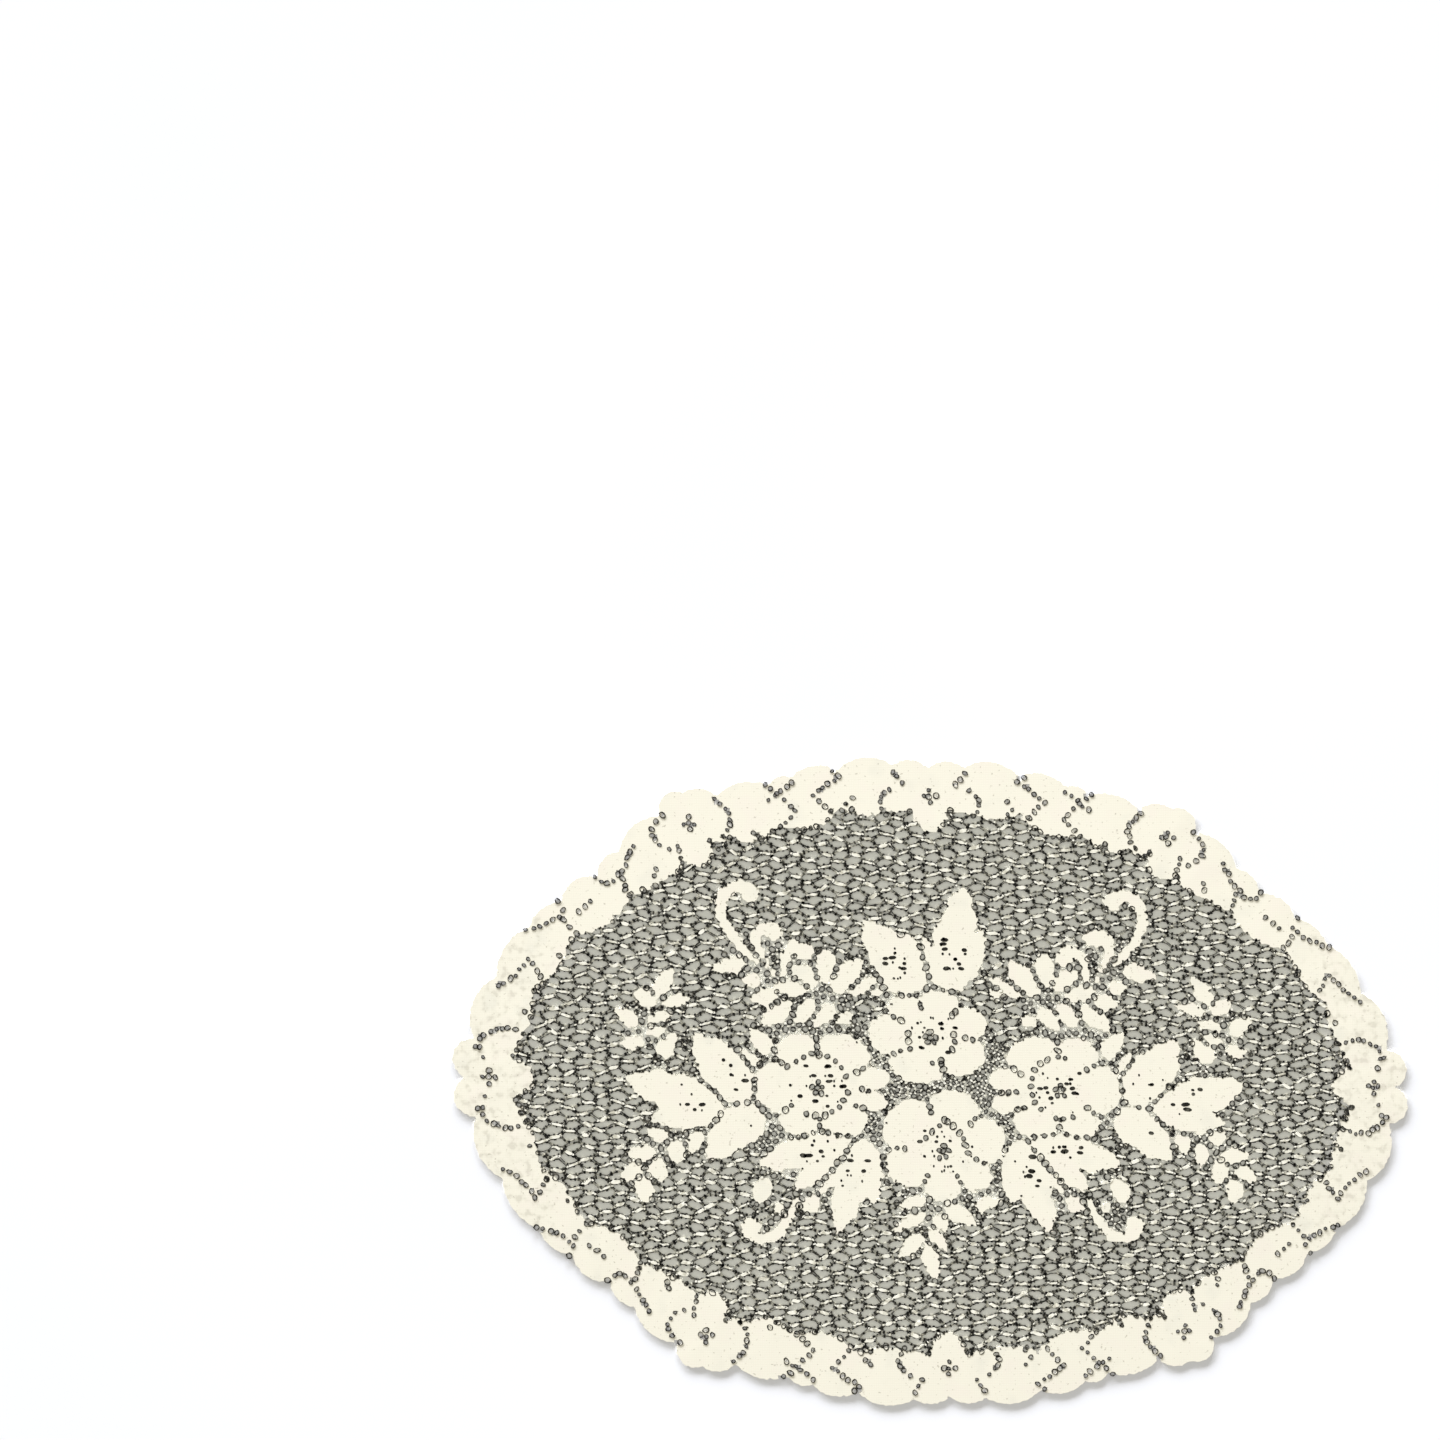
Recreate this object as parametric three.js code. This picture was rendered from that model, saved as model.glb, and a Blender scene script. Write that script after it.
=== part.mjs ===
import * as THREE from 'three';

// Size of the laid mat, mm.
const MAT_LENGTH = 483;
const MAT_WIDTH = 328;
const CLOTH_THICKNESS = 1.5;
const CREAM = 0xfbf5e2;
const MATT = 0.9;

// Lie of the cloth: the pattern is drawn square, and the laid cloth bows, leans and fans a little.
const HALF_SPAN = 240;
const BOW = 4.6;
const LEAN = 0.034;
const TURN = 0.0105;
const FAN = 0.000154;

// Scalloped outer edge, a quarter from the right end to the far middle.
// A row is the notch before a scallop, and how far that scallop stands out from its chord.
const STEPS_PER_SCALLOP = 7;
const OUTER_EDGE = [
  { x: 235, y: 0, bulge: 8 },
  { x: 230, y: 19.5, bulge: 6.3 },
  { x: 218, y: 49.5, bulge: 4.6 },
  { x: 201, y: 74.5, bulge: 3.2 },
  { x: 185, y: 87.5, bulge: 4.6 },
  { x: 167, y: 100.3, bulge: 3.4 },
  { x: 155.5, y: 113, bulge: 5 },
  { x: 135, y: 131, bulge: 5.5 },
  { x: 123, y: 143, bulge: 3 },
  { x: 106.5, y: 142, bulge: 4 },
  { x: 80.5, y: 148.5, bulge: 2.4 },
  { x: 69, y: 152.5, bulge: 4 },
  { x: 46, y: 157, bulge: 5 },
  { x: 18, y: 160.5, bulge: 3.2 },
  { x: 0, y: 159.8, bulge: 0 },
];

// Inner edge of the border band, the same quarter; the bulges stand out over the net.
const INNER_EDGE = [
  { x: 201, y: 0, bulge: -2.5 },
  { x: 210.9, y: 9.5, bulge: -1.5 },
  { x: 205, y: 21.5, bulge: -1.5 },
  { x: 199.3, y: 44, bulge: 0 },
  { x: 194.5, y: 46.5, bulge: -2 },
  { x: 181.5, y: 66.5, bulge: 0 },
  { x: 177.5, y: 71.5, bulge: -4 },
  { x: 153, y: 87, bulge: 0 },
  { x: 151.5, y: 90, bulge: -1 },
  { x: 126, y: 104, bulge: 0 },
  { x: 124, y: 108, bulge: -5 },
  { x: 109, y: 114, bulge: 0 },
  { x: 111, y: 119.5, bulge: -2 },
  { x: 100, y: 121, bulge: -4 },
  { x: 80, y: 125, bulge: 0 },
  { x: 73, y: 126.5, bulge: -4.5 },
  { x: 45.5, y: 137, bulge: -2.5 },
  { x: 22, y: 136, bulge: -0.5 },
  { x: 9, y: 138, bulge: -2.5 },
  { x: 0, y: 126, bulge: 0 },
];

// Bouquet. Roses: middle, half sizes, number of petals and the turn of the first one in degrees.
const PETAL_NOTCH = 0.86;
const ROSES = [
  { x: -59.5, y: -3, reachX: 31.8, reachY: 25.8, petals: 7, turn: 12 },
  { x: 58, y: -2, reachX: 33, reachY: 27.2, petals: 7, turn: 168 },
  { x: -4, y: 23, reachX: 28.8, reachY: 23, petals: 6, turn: 30 },
  { x: 0.5, y: -32, reachX: 30.5, reachY: 27, petals: 6, turn: 5 },
];

// Leaves from base to tip; a paired leaf is repeated across the middle of the mat.
const LEAVES = [
  { baseX: 95, baseY: -10.5, tipX: 122.2, tipY: 23.5, width: 25, paired: true },
  { baseX: 110, baseY: -15, tipX: 157, tipY: 1.5, width: 24, paired: true },
  { baseX: 91.5, baseY: -12.5, tipX: 115, tipY: -39, width: 23, paired: true },
  { baseX: 45, baseY: -29, tipX: 91, tipY: -43, width: 23, paired: true },
  { baseX: 38, baseY: -29, tipX: 54, tipY: -77, width: 22, paired: true },
  { baseX: -9, baseY: 45, tipX: -34.1, tipY: 81.3, width: 26, paired: false },
  { baseX: 4, baseY: 46, tipX: 17, tipY: 99.2, width: 29, paired: false },
  { baseX: 54, baseY: 48, tipX: 55.5, tipY: 68, width: 9, paired: true },
  { baseX: 53, baseY: 44, tipX: 37, tipY: 63, width: 9, paired: true },
  { baseX: 58, baseY: 48, tipX: 72, tipY: 59, width: 8, paired: true },
  { baseX: 62, baseY: 46, tipX: 82, tipY: 49, width: 8, paired: true },
  { baseX: 50, baseY: 30, tipX: 60, tipY: 43, width: 8, paired: true },
  { baseX: 62, baseY: 33, tipX: 82, tipY: 40, width: 10, paired: true },
  { baseX: 83, baseY: 13, tipX: 96, tipY: 28, width: 9, paired: true },
  { baseX: 89, baseY: 3, tipX: 102, tipY: 18, width: 7, paired: true },
  { baseX: 80, baseY: 26, tipX: 92, tipY: 40, width: 7, paired: true },
  { baseX: 82, baseY: 41, tipX: 106, tipY: 57, width: 6, paired: true },
  { baseX: 66, baseY: -58, tipX: 82, tipY: -54, width: 12, paired: true },
  { baseX: 80, baseY: -50, tipX: 97, tipY: -54, width: 9, paired: true },
  { baseX: 119, baseY: -17, tipX: 131, tipY: -39, width: 8, paired: true },
  { baseX: 128, baseY: -26, tipX: 147, tipY: -60, width: 11, paired: true },
  { baseX: 128, baseY: -27, tipX: 158, tipY: -35, width: 9, paired: true },
  { baseX: 140, baseY: -42, tipX: 159, tipY: -52, width: 9, paired: true },
  { baseX: 128, baseY: 12, tipX: 141, tipY: 52, width: 9, paired: true },
  { baseX: 132, baseY: 14, tipX: 160, tipY: 36, width: 9, paired: true },
  { baseX: 136, baseY: 10, tipX: 164, tipY: 15, width: 9, paired: true },
  { baseX: -2, baseY: -56, tipX: -2, tipY: -84, width: 10, paired: false },
  { baseX: -14, baseY: -72, tipX: -6, tipY: -98, width: 9, paired: false },
  { baseX: 0, baseY: -58, tipX: -22, tipY: -74, width: 9, paired: false },
  { baseX: 4, baseY: -56, tipX: 36, tipY: -62, width: 9, paired: false },
];

// Scrolls, repeated across the middle: foot, two pulls of the curve and the round head.
const SCROLL_STEPS = 14;
const SCROLLS = [
  { footX: 80, footY: 52, pullX: 108, pullY: 68, pull2X: 110, pull2Y: 108, headX: 90, headY: 93, width: 6 },
  { footX: 78, footY: 52, pullX: 92, pullY: 64, pull2X: 90, pull2Y: 86, headX: 80, headY: 76, width: 6 },
  { footX: 74, footY: 52, pullX: 84, pullY: 64, pull2X: 78, pull2Y: 80, headX: 67, headY: 66, width: 6 },
  { footX: 73, footY: -58, pullX: 76, pullY: -72, pull2X: 92, pull2Y: -88, headX: 97, headY: -74, width: 6 },
];

// Patches of close mesh between the motifs, with no gap wide enough to open.
const CLOSE_MESH = [
  { x: 0, y: 0, reachX: 62, reachY: 34 },
  { x: 40, y: 34, reachX: 26, reachY: 13 },
  { x: -40, y: 34, reachX: 26, reachY: 13 },
  { x: 32, y: -38, reachX: 14, reachY: 22 },
  { x: -32, y: -38, reachX: 14, reachY: 22 },
  { x: 0, y: -62, reachX: 22, reachY: 9 },
  { x: 22, y: 50, reachX: 12, reachY: 9 },
  { x: -22, y: 50, reachX: 12, reachY: 9 },
  { x: 66, y: 27, reachX: 20, reachY: 8 },
  { x: -66, y: 27, reachX: 20, reachY: 8 },
  { x: 67, y: -56, reachX: 14, reachY: 9 },
  { x: -67, y: -56, reachX: 14, reachY: 9 },
];

// Open net: six-sided cells in columns, every other column half a cell higher.
const COLUMN_PITCH = 15.4;
const ROW_PITCH = 11.2;
const BAR_WIDTH = 2;
const NET_COLUMNS = 15;
const NET_ROWS = 13;
const FLAT_SHARE = 1 / 3;
const POINT_SHARE = 2 / 3;

// A cell beside a motif is drawn in towards a seed point, which leaves a rim of cloth round the motif.
// Cells that end up too small stay closed, and the largest are kept.
const MOTIF_RIM = 1;
const SEED_SHARE = 0.55;
const TRIM_STEPS = 24;
const LEAST_AREA = 26;
const LEAST_REACH = 2;
const MOST_CELLS = 300;

function mirrored(row, names) {
  const twin = { ...row };
  for (const name of names) twin[name] = -row[name];
  return twin;
}

function withTwins(rows, names) {
  return rows.flatMap((row) => [row, mirrored(row, names)]);
}

const leaves = LEAVES.flatMap((leaf) => (leaf.paired ? withTwins([leaf], ['baseX', 'tipX']) : [leaf]));
const scrolls = withTwins(SCROLLS, ['footX', 'pullX', 'pull2X', 'headX']);

// Round arc from one notch to the next, without its last point; a positive bulge lies to its right.
function arc(from, to, bulge) {
  if (bulge === 0) return [from.clone()];
  const along = to.clone().sub(from);
  const chord = along.length();
  along.normalize();
  const out = new THREE.Vector2(along.y, -along.x);
  const radius = (chord * chord / 4 + bulge * bulge) / (2 * Math.abs(bulge));
  const halfTurn = 2 * Math.atan(2 * Math.abs(bulge) / chord);
  const points = [];
  for (let step = 0; step < STEPS_PER_SCALLOP; step += 1) {
    const angle = halfTurn * (2 * step / STEPS_PER_SCALLOP - 1);
    const rise = radius * Math.cos(angle) - (radius - Math.abs(bulge));
    const point = from.clone().lerp(to, 0.5);
    point.addScaledVector(along, radius * Math.sin(angle));
    point.addScaledVector(out, Math.sign(bulge) * rise);
    points.push(point);
  }
  return points;
}

// Whole edge from its quarter: each quarter is the last one mirrored, walked the other way.
function wholeEdge(quarter) {
  const notches = quarter.map((row) => new THREE.Vector2(row.x, row.y));
  const bulges = quarter.map((row) => row.bulge);
  const loop = [];
  const quarters = [[1, 1], [-1, 1], [-1, -1], [1, -1]];
  quarters.forEach(([signX, signY], index) => {
    const forward = index % 2 === 0;
    for (let i = 0; i < notches.length - 1; i += 1) {
      const first = forward ? i : notches.length - 1 - i;
      const second = forward ? i + 1 : first - 1;
      const from = new THREE.Vector2(notches[first].x * signX, notches[first].y * signY);
      const to = new THREE.Vector2(notches[second].x * signX, notches[second].y * signY);
      loop.push(...arc(from, to, bulges[Math.min(first, second)]));
    }
  });
  return loop;
}

function lie(point) {
  const x = point.x + BOW * (1 - (point.x / HALF_SPAN) ** 2) - LEAN * point.y;
  const y = point.y - point.x * (TURN + FAN * point.y);
  return new THREE.Vector2(x, y);
}

function isInside(loop, point) {
  let inside = false;
  for (let i = 0, j = loop.length - 1; i < loop.length; j = i, i += 1) {
    const a = loop[i];
    const b = loop[j];
    const spans = (a.y > point.y) !== (b.y > point.y);
    if (spans && point.x < (b.x - a.x) * (point.y - a.y) / (b.y - a.y) + a.x) inside = !inside;
  }
  return inside;
}

function onRose(rose, point) {
  const across = (point.x - rose.x) / (rose.reachX + MOTIF_RIM);
  const up = (point.y - rose.y) / (rose.reachY + MOTIF_RIM);
  const angle = Math.atan2(up, across) - THREE.MathUtils.degToRad(rose.turn);
  const lobe = Math.sqrt(Math.abs(Math.cos(rose.petals * angle / 2)));
  return Math.hypot(across, up) < PETAL_NOTCH + (1 - PETAL_NOTCH) * lobe;
}

function onLeaf(leaf, point) {
  const along = new THREE.Vector2(leaf.tipX - leaf.baseX, leaf.tipY - leaf.baseY);
  const length = along.length();
  along.normalize();
  const from = new THREE.Vector2(point.x - leaf.baseX, point.y - leaf.baseY);
  const share = (from.dot(along) + MOTIF_RIM) / (length + 2 * MOTIF_RIM);
  if (share < 0 || share > 1) return false;
  const half = leaf.width / 2 * Math.sqrt(Math.sin(Math.PI * share)) + MOTIF_RIM;
  return Math.abs(from.cross(along)) < half;
}

function onScroll(scroll, point) {
  const curve = new THREE.CubicBezierCurve(
    new THREE.Vector2(scroll.footX, scroll.footY),
    new THREE.Vector2(scroll.pullX, scroll.pullY),
    new THREE.Vector2(scroll.pull2X, scroll.pull2Y),
    new THREE.Vector2(scroll.headX, scroll.headY),
  );
  const near = scroll.width / 2 + MOTIF_RIM;
  return curve.getPoints(SCROLL_STEPS).some((spot) => spot.distanceTo(point) < near);
}

function onCloseMesh(patch, point) {
  return Math.hypot((point.x - patch.x) / patch.reachX, (point.y - patch.y) / patch.reachY) < 1;
}

const innerEdge = wholeEdge(INNER_EDGE);

function isOpenNet(point) {
  if (!isInside(innerEdge, point)) return false;
  if (CLOSE_MESH.some((patch) => onCloseMesh(patch, point))) return false;
  if (ROSES.some((rose) => onRose(rose, point))) return false;
  if (leaves.some((leaf) => onLeaf(leaf, point))) return false;
  return !scrolls.some((scroll) => onScroll(scroll, point));
}

// Corners of a whole cell, in order round it.
function cellCorners(middle) {
  const open = 1 - BAR_WIDTH / ROW_PITCH;
  const flat = COLUMN_PITCH * FLAT_SHARE * open;
  const tip = COLUMN_PITCH * POINT_SHARE * open;
  const rise = ROW_PITCH / 2 * open;
  const corners = [[tip, 0], [flat, rise], [-flat, rise], [-tip, 0], [-flat, -rise], [flat, -rise]];
  return corners.map(([x, y]) => new THREE.Vector2(middle.x + x, middle.y + y));
}

// Farthest share of the way from the seed to the corner that stays in open net.
function reach(seed, corner) {
  for (let step = 1; step <= TRIM_STEPS; step += 1) {
    if (!isOpenNet(seed.clone().lerp(corner, step / TRIM_STEPS))) return (step - 1) / TRIM_STEPS;
  }
  return 1;
}

function trimmedCell(seed, corners) {
  return corners.map((corner) => seed.clone().lerp(corner, reach(seed, corner)));
}

// A cell as cut: whole where the net is clear, else drawn in to the motifs from its clearest seed.
function cutCell(middle) {
  const corners = cellCorners(middle);
  const seeds = [middle, ...corners.map((corner) => middle.clone().lerp(corner, SEED_SHARE))];
  const cells = seeds.filter(isOpenNet).map((seed) => {
    const loop = trimmedCell(seed, corners);
    const least = Math.min(...loop.map((point) => point.distanceTo(seed)));
    return { loop, least, area: Math.abs(THREE.ShapeUtils.area(loop)) };
  });
  const fit = cells.filter((cell) => cell.least > LEAST_REACH && cell.area > LEAST_AREA);
  fit.sort((a, b) => b.area - a.area);
  return fit[0];
}

function netCells() {
  const cells = [];
  for (let column = -NET_COLUMNS; column <= NET_COLUMNS; column += 1) {
    for (let row = -NET_ROWS; row <= NET_ROWS; row += 1) {
      const shift = column % 2 === 0 ? 0 : 0.5;
      const cell = cutCell(new THREE.Vector2(column * COLUMN_PITCH, (row + shift) * ROW_PITCH));
      if (cell) cells.push(cell);
    }
  }
  cells.sort((a, b) => b.area - a.area);
  return cells.slice(0, MOST_CELLS).map((cell) => cell.loop);
}

const outline = wholeEdge(OUTER_EDGE).map(lie);
const box = new THREE.Box2().setFromPoints(outline);
const boxMiddle = box.getCenter(new THREE.Vector2());
const boxSize = box.getSize(new THREE.Vector2());

// The laid pattern brought to the mat's length and width, middle on the origin.
function toSize(point) {
  const x = (point.x - boxMiddle.x) * MAT_LENGTH / boxSize.x;
  const y = (point.y - boxMiddle.y) * MAT_WIDTH / boxSize.y;
  return new THREE.Vector2(x, y);
}

const sheet = new THREE.Shape(outline.map(toSize));
for (const loop of netCells()) {
  sheet.holes.push(new THREE.Path(loop.map(lie).map(toSize)));
}

const cloth = new THREE.Mesh(
  new THREE.ExtrudeGeometry(sheet, { depth: CLOTH_THICKNESS, bevelEnabled: false }),
  new THREE.MeshStandardMaterial({ color: CREAM, roughness: MATT, metalness: 0 }),
);
cloth.name = 'lace_mat';

const mat = new THREE.Group();
mat.name = 'lace_placemat';
mat.add(cloth);

export default mat;
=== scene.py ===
# %% [markdown]
# # A lace placemat
# The real mat is one panel of knitted lace: a scalloped border of flowers and leaves, an open net, and a
# bouquet in the middle. The imported solid gives its outline and size. It is loaded first and its box is
# kept, and everything drawn later is centred and scaled to it.

# %% Load the frame
import bpy
import numpy as np
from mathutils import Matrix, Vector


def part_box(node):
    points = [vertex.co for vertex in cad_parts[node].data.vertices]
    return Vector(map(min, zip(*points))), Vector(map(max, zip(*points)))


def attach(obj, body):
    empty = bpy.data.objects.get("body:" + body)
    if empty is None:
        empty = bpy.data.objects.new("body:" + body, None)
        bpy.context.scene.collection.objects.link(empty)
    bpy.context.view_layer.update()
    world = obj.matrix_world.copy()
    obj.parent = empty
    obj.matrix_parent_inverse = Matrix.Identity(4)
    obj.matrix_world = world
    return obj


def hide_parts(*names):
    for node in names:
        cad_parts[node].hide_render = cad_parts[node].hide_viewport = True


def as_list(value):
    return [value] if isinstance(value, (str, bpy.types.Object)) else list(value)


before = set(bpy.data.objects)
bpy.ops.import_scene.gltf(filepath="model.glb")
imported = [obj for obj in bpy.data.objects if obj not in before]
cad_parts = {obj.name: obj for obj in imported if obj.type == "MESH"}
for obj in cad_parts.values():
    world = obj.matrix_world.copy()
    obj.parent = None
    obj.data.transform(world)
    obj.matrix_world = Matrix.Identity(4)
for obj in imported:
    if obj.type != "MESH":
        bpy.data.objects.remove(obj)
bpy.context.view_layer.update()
mat_low, mat_high = (np.array(corner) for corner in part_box("lace_mat"))
MAT_SIZE = (mat_high - mat_low)[:2]
print("mat size in metres:", MAT_SIZE)

# %% [markdown]
# ## The camera
# The photograph looks straight down, like a scan, and the mat lies low and to the right in it. A long lens
# high above the table gives that view with hardly any perspective. The camera looks down its own -Z axis,
# so it needs no turning: only its height and its offset from the mat's middle.

# %% Camera straight above
PHOTO_SIDE = 1440
MAT_MIDDLE_PIXEL = (930.0, 1081.5)
MAT_LENGTH, MAT_LENGTH_PIXELS = 0.483, 956.5
METRES_PER_PIXEL = MAT_LENGTH / MAT_LENGTH_PIXELS
LENS, SENSOR = 100.0, 36.0
view_width = PHOTO_SIDE * METRES_PER_PIXEL
camera = bpy.data.objects.new("camera", bpy.data.cameras.new("camera"))
camera.data.lens = LENS
camera.data.sensor_width = SENSOR
camera.location = (
    (PHOTO_SIDE / 2 - MAT_MIDDLE_PIXEL[0]) * METRES_PER_PIXEL,
    (MAT_MIDDLE_PIXEL[1] - PHOTO_SIDE / 2) * METRES_PER_PIXEL,
    view_width * LENS / SENSOR,
)
bpy.context.scene.collection.objects.link(camera)
bpy.context.scene.camera = camera
print("camera height:", round(camera.location.z, 3), "m, view width:", round(view_width, 3), "m")

# %% [markdown]
# ## Drafting square, laying loose
# Lace is drafted square: one quarter of the border is drawn and mirrored, and one half of the bouquet.
# Cloth laid by hand is never square. Each piece could be bent afterwards, but then they would no longer fit
# each other, so every finished point is moved by one formula, the lie.

# %% The lie of the cloth
HALF_SPAN, BOW, LEAN, TURN, FAN = 240.0, 4.6, 0.034, 0.0105, 0.000154


def lie(x, y):
    """Laid place of a draft point: bows to +X in the middle, leans with Y, and turns and fans with X."""
    return x + BOW * (1 - (x / HALF_SPAN) ** 2) - LEAN * y, y - x * (TURN + FAN * y)


print("the middle of the draft is laid at", lie(0.0, 0.0), "mm")

# %% [markdown]
# ## Scalloped edges
# The border's outer edge is a row of rounded scallops, and its inner edge stands out over the net in flatter
# ones. They could be one long drawn curve. A table of the notches between the scallops is shorter: each
# scallop is a round arc from notch to notch, and three mirrored copies of a quarter complete the oval.

# %% Edges from one quarter
OUTER_STEPS, INNER_STEPS = 10, 7


def arc(start, end, bulge, steps):
    """Round arc from start to end without its last point: chord and rise give the circle's radius."""
    along = end - start
    chord = np.hypot(*along)
    if bulge == 0:
        return start[None, :]
    radius = (chord**2 / 4 + bulge**2) / (2 * abs(bulge))
    half_turn = 2 * np.arctan(2 * abs(bulge) / chord)
    angle = half_turn * (2 * np.arange(steps) / steps - 1)
    along = along / chord
    out = np.array([along[1], -along[0]]) * np.sign(bulge)
    rise = radius * np.cos(angle) - (radius - abs(bulge))
    return (start + end) / 2 + np.outer(radius * np.sin(angle), along) + np.outer(rise, out)


def whole_edge(quarter, steps):
    """Closed line from a quarter table (x, y, bulge): each quarter is the last one mirrored and reversed."""
    table = np.array(quarter, float)
    line = []
    for index, sign in enumerate([(1, 1), (-1, 1), (-1, -1), (1, -1)]):
        rows = table if index % 2 == 0 else table[::-1]
        bulges = table[:-1, 2] if index % 2 == 0 else table[-2::-1, 2]
        notches = rows[:, :2] * sign
        line += [arc(*pair, steps) for pair in zip(notches[:-1], notches[1:], bulges)]
    return np.concatenate(line)


# notch x, notch y and the rise of the scallop after it, mm, from the right end to the far middle
OUTER_EDGE = [
    (235, 0, 8), (230, 19.5, 6.3), (218, 49.5, 4.6), (201, 74.5, 3.2), (185, 87.5, 4.6),
    (167, 100.3, 3.4), (155.5, 113, 5), (135, 131, 5.5), (123, 143, 3), (106.5, 142, 4),
    (80.5, 148.5, 2.4), (69, 152.5, 4), (46, 157, 5), (18, 160.5, 3.2), (0, 159.8, 0),
]
# the same for the band's inner edge, where the scallops stand out over the net
INNER_EDGE = [
    (201, 0, -2.5), (210.9, 9.5, -1.5), (205, 21.5, -1.5), (199.3, 44, 0), (194.5, 46.5, -2),
    (181.5, 66.5, 0), (177.5, 71.5, -4), (153, 87, 0), (151.5, 90, -1), (126, 104, 0),
    (124, 108, -5), (109, 114, 0), (111, 119.5, -2), (100, 121, -4), (80, 125, 0),
    (73, 126.5, -4.5), (45.5, 137, -2.5), (22, 136, -0.5), (9, 138, -2.5), (0, 126, 0),
]
outer_edge = whole_edge(OUTER_EDGE, OUTER_STEPS)
inner_edge = whole_edge(INNER_EDGE, INNER_STEPS)
print("outer edge points:", len(outer_edge), "inner edge points:", len(inner_edge))

# %% [markdown]
# ## Into the frame
# The draft is in millimetres round the middle of the mat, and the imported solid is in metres. After the lie,
# the outer edge is centred on the solid's box and scaled to it. Every other piece takes the same step, so
# they all stay together.

# %% From the draft to the frame
MM = 0.001
laid_edge = np.stack(lie(outer_edge[:, 0], outer_edge[:, 1]), axis=1)
LAID_MIDDLE = (laid_edge.min(axis=0) + laid_edge.max(axis=0)) / 2
LAID_SCALE = MAT_SIZE / np.ptp(laid_edge, axis=0)


def lay(x, y, z):
    """Metres in the frame from draft millimetres: the lie, then centred and scaled to the solid's box."""
    laid = np.stack(lie(x, y), axis=1)
    return np.concatenate([(laid - LAID_MIDDLE) * LAID_SCALE, z[:, None] * MM], axis=1)


print("metres for a draft millimetre, along and across:", LAID_SCALE)

# %% [markdown]
# ## Cloth as a field
# Whole cloth could be cut with booleans, but hundreds of small eyelets make those slow and fragile. Here the
# cloth is a field: a number at each place that is the distance to the nearest edge, positive on cloth.
# Joining motifs is then a maximum, and opening an eyelet is a minimum, both on whole arrays at once.

# %% Distance to an edge and to eyelets
BLOCK = 6000


def in_blocks(measure, x, y):
    """Runs a measure over flat blocks of places, so that places times edges fit in memory."""
    flat_x, flat_y = x.ravel().astype(np.float32), y.ravel().astype(np.float32)
    blocks = np.array_split(np.arange(flat_x.size), max(1, flat_x.size // BLOCK))
    return np.concatenate([measure(flat_x[b, None], flat_y[b, None]) for b in blocks]).reshape(x.shape)


def inside_line(x, y, line):
    """Distance to a closed line, positive inside: the nearest point of any side, signed by its crossings."""
    a = line.astype(np.float32)
    b = np.roll(a, -1, axis=0)
    side = b - a
    length2 = (side**2).sum(axis=1)

    def measure(px, py):
        share = np.clip(((px - a[:, 0]) * side[:, 0] + (py - a[:, 1]) * side[:, 1]) / length2, 0, 1)
        near = np.hypot(px - a[:, 0] - share * side[:, 0], py - a[:, 1] - share * side[:, 1]).min(axis=1)
        spans = (a[:, 1] > py) != (b[:, 1] > py)
        level = np.where(side[:, 1] == 0, 1, side[:, 1])
        left = px < a[:, 0] + side[:, 0] * (py - a[:, 1]) / level
        return np.where((spans & left).sum(axis=1) % 2 == 1, near, -near)

    return in_blocks(measure, x, y)


def from_eyelets(x, y, eyelets, radius):
    """Distance to the rim of the nearest eyelet, negative in the hole."""
    spots = eyelets.astype(np.float32)
    return in_blocks(lambda px, py: np.hypot(px - spots[:, 0], py - spots[:, 1]).min(axis=1) - radius, x, y)


print("the mat's middle lies", inside_line(np.zeros(1), np.zeros(1), outer_edge), "mm inside its edge")

# %% [markdown]
# ## Unevenness
# No two eyelets or threads of real lace are quite alike. A random generator could scatter them, but threads
# that meet have to agree. So the scatter is worked out from the place itself: a fast sine wave, of which
# only the part behind the decimal point is kept.

# %% Scatter by place
WAVE_ALONG, WAVE_UP, WAVE_SEED, WAVE_HEIGHT = 12.9898, 78.233, 37.719, 43758.5453


def wobble(x, y, seed):
    """Scatter from -1 to 1 that depends on place and seed alone: the fraction of a high sine wave."""
    wave = np.sin(np.round(x, 1) * WAVE_ALONG + np.round(y, 1) * WAVE_UP + seed * WAVE_SEED) * WAVE_HEIGHT
    return 2 * (wave - np.floor(wave)) - 1


def kinked(x, y, amount, seed):
    """Places moved each way by their own scatter, up to an amount."""
    return x + amount * wobble(x, y, seed), y + amount * wobble(x, y, seed + 1)


def some_of(points, seed, least):
    """The points whose scatter is above the least."""
    return points[wobble(points[:, 0], points[:, 1], seed) > least]


print("the mat's middle is moved by up to 1 mm to", kinked(0.0, 0.0, 1.0, 1))

# %% [markdown]
# ## Eyelets of the border
# Rows of small eyelets part the flowers and leaves of the border from each other. Each could be placed by
# hand, but a row is a shallow curve with even spacing. So it is drawn from its two ends, its bow and its
# number of eyelets, for one quarter of the mat, and mirrored. Each border flower has five at its heart.

# %% Rows of border eyelets
BORDER_EYELET, EYELET_STRAY = 1.1, 0.55


def row(start_x, start_y, end_x, end_y, bow, count):
    """Even points along a shallow curve: a straight line plus a parabola's bow to the left of its run."""
    share = np.linspace(0, 1, int(count)) if count > 1 else np.array([0.5])
    along = np.array([end_x - start_x, end_y - start_y])
    left = np.array([-along[1], along[0]]) / max(np.hypot(*along), 1e-6)
    straight = np.array([start_x, start_y]) + np.outer(share, along)
    return straight + np.outer(4 * share * (1 - share) * bow, left)


def in_quarters(points):
    """The points and their three mirror images, without doubles on the axes."""
    signs = np.array([(1, 1), (-1, 1), (-1, -1), (1, -1)])
    return np.unique(np.round((points[None] * signs[:, None]).reshape(-1, 2), 3), axis=0)


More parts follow.
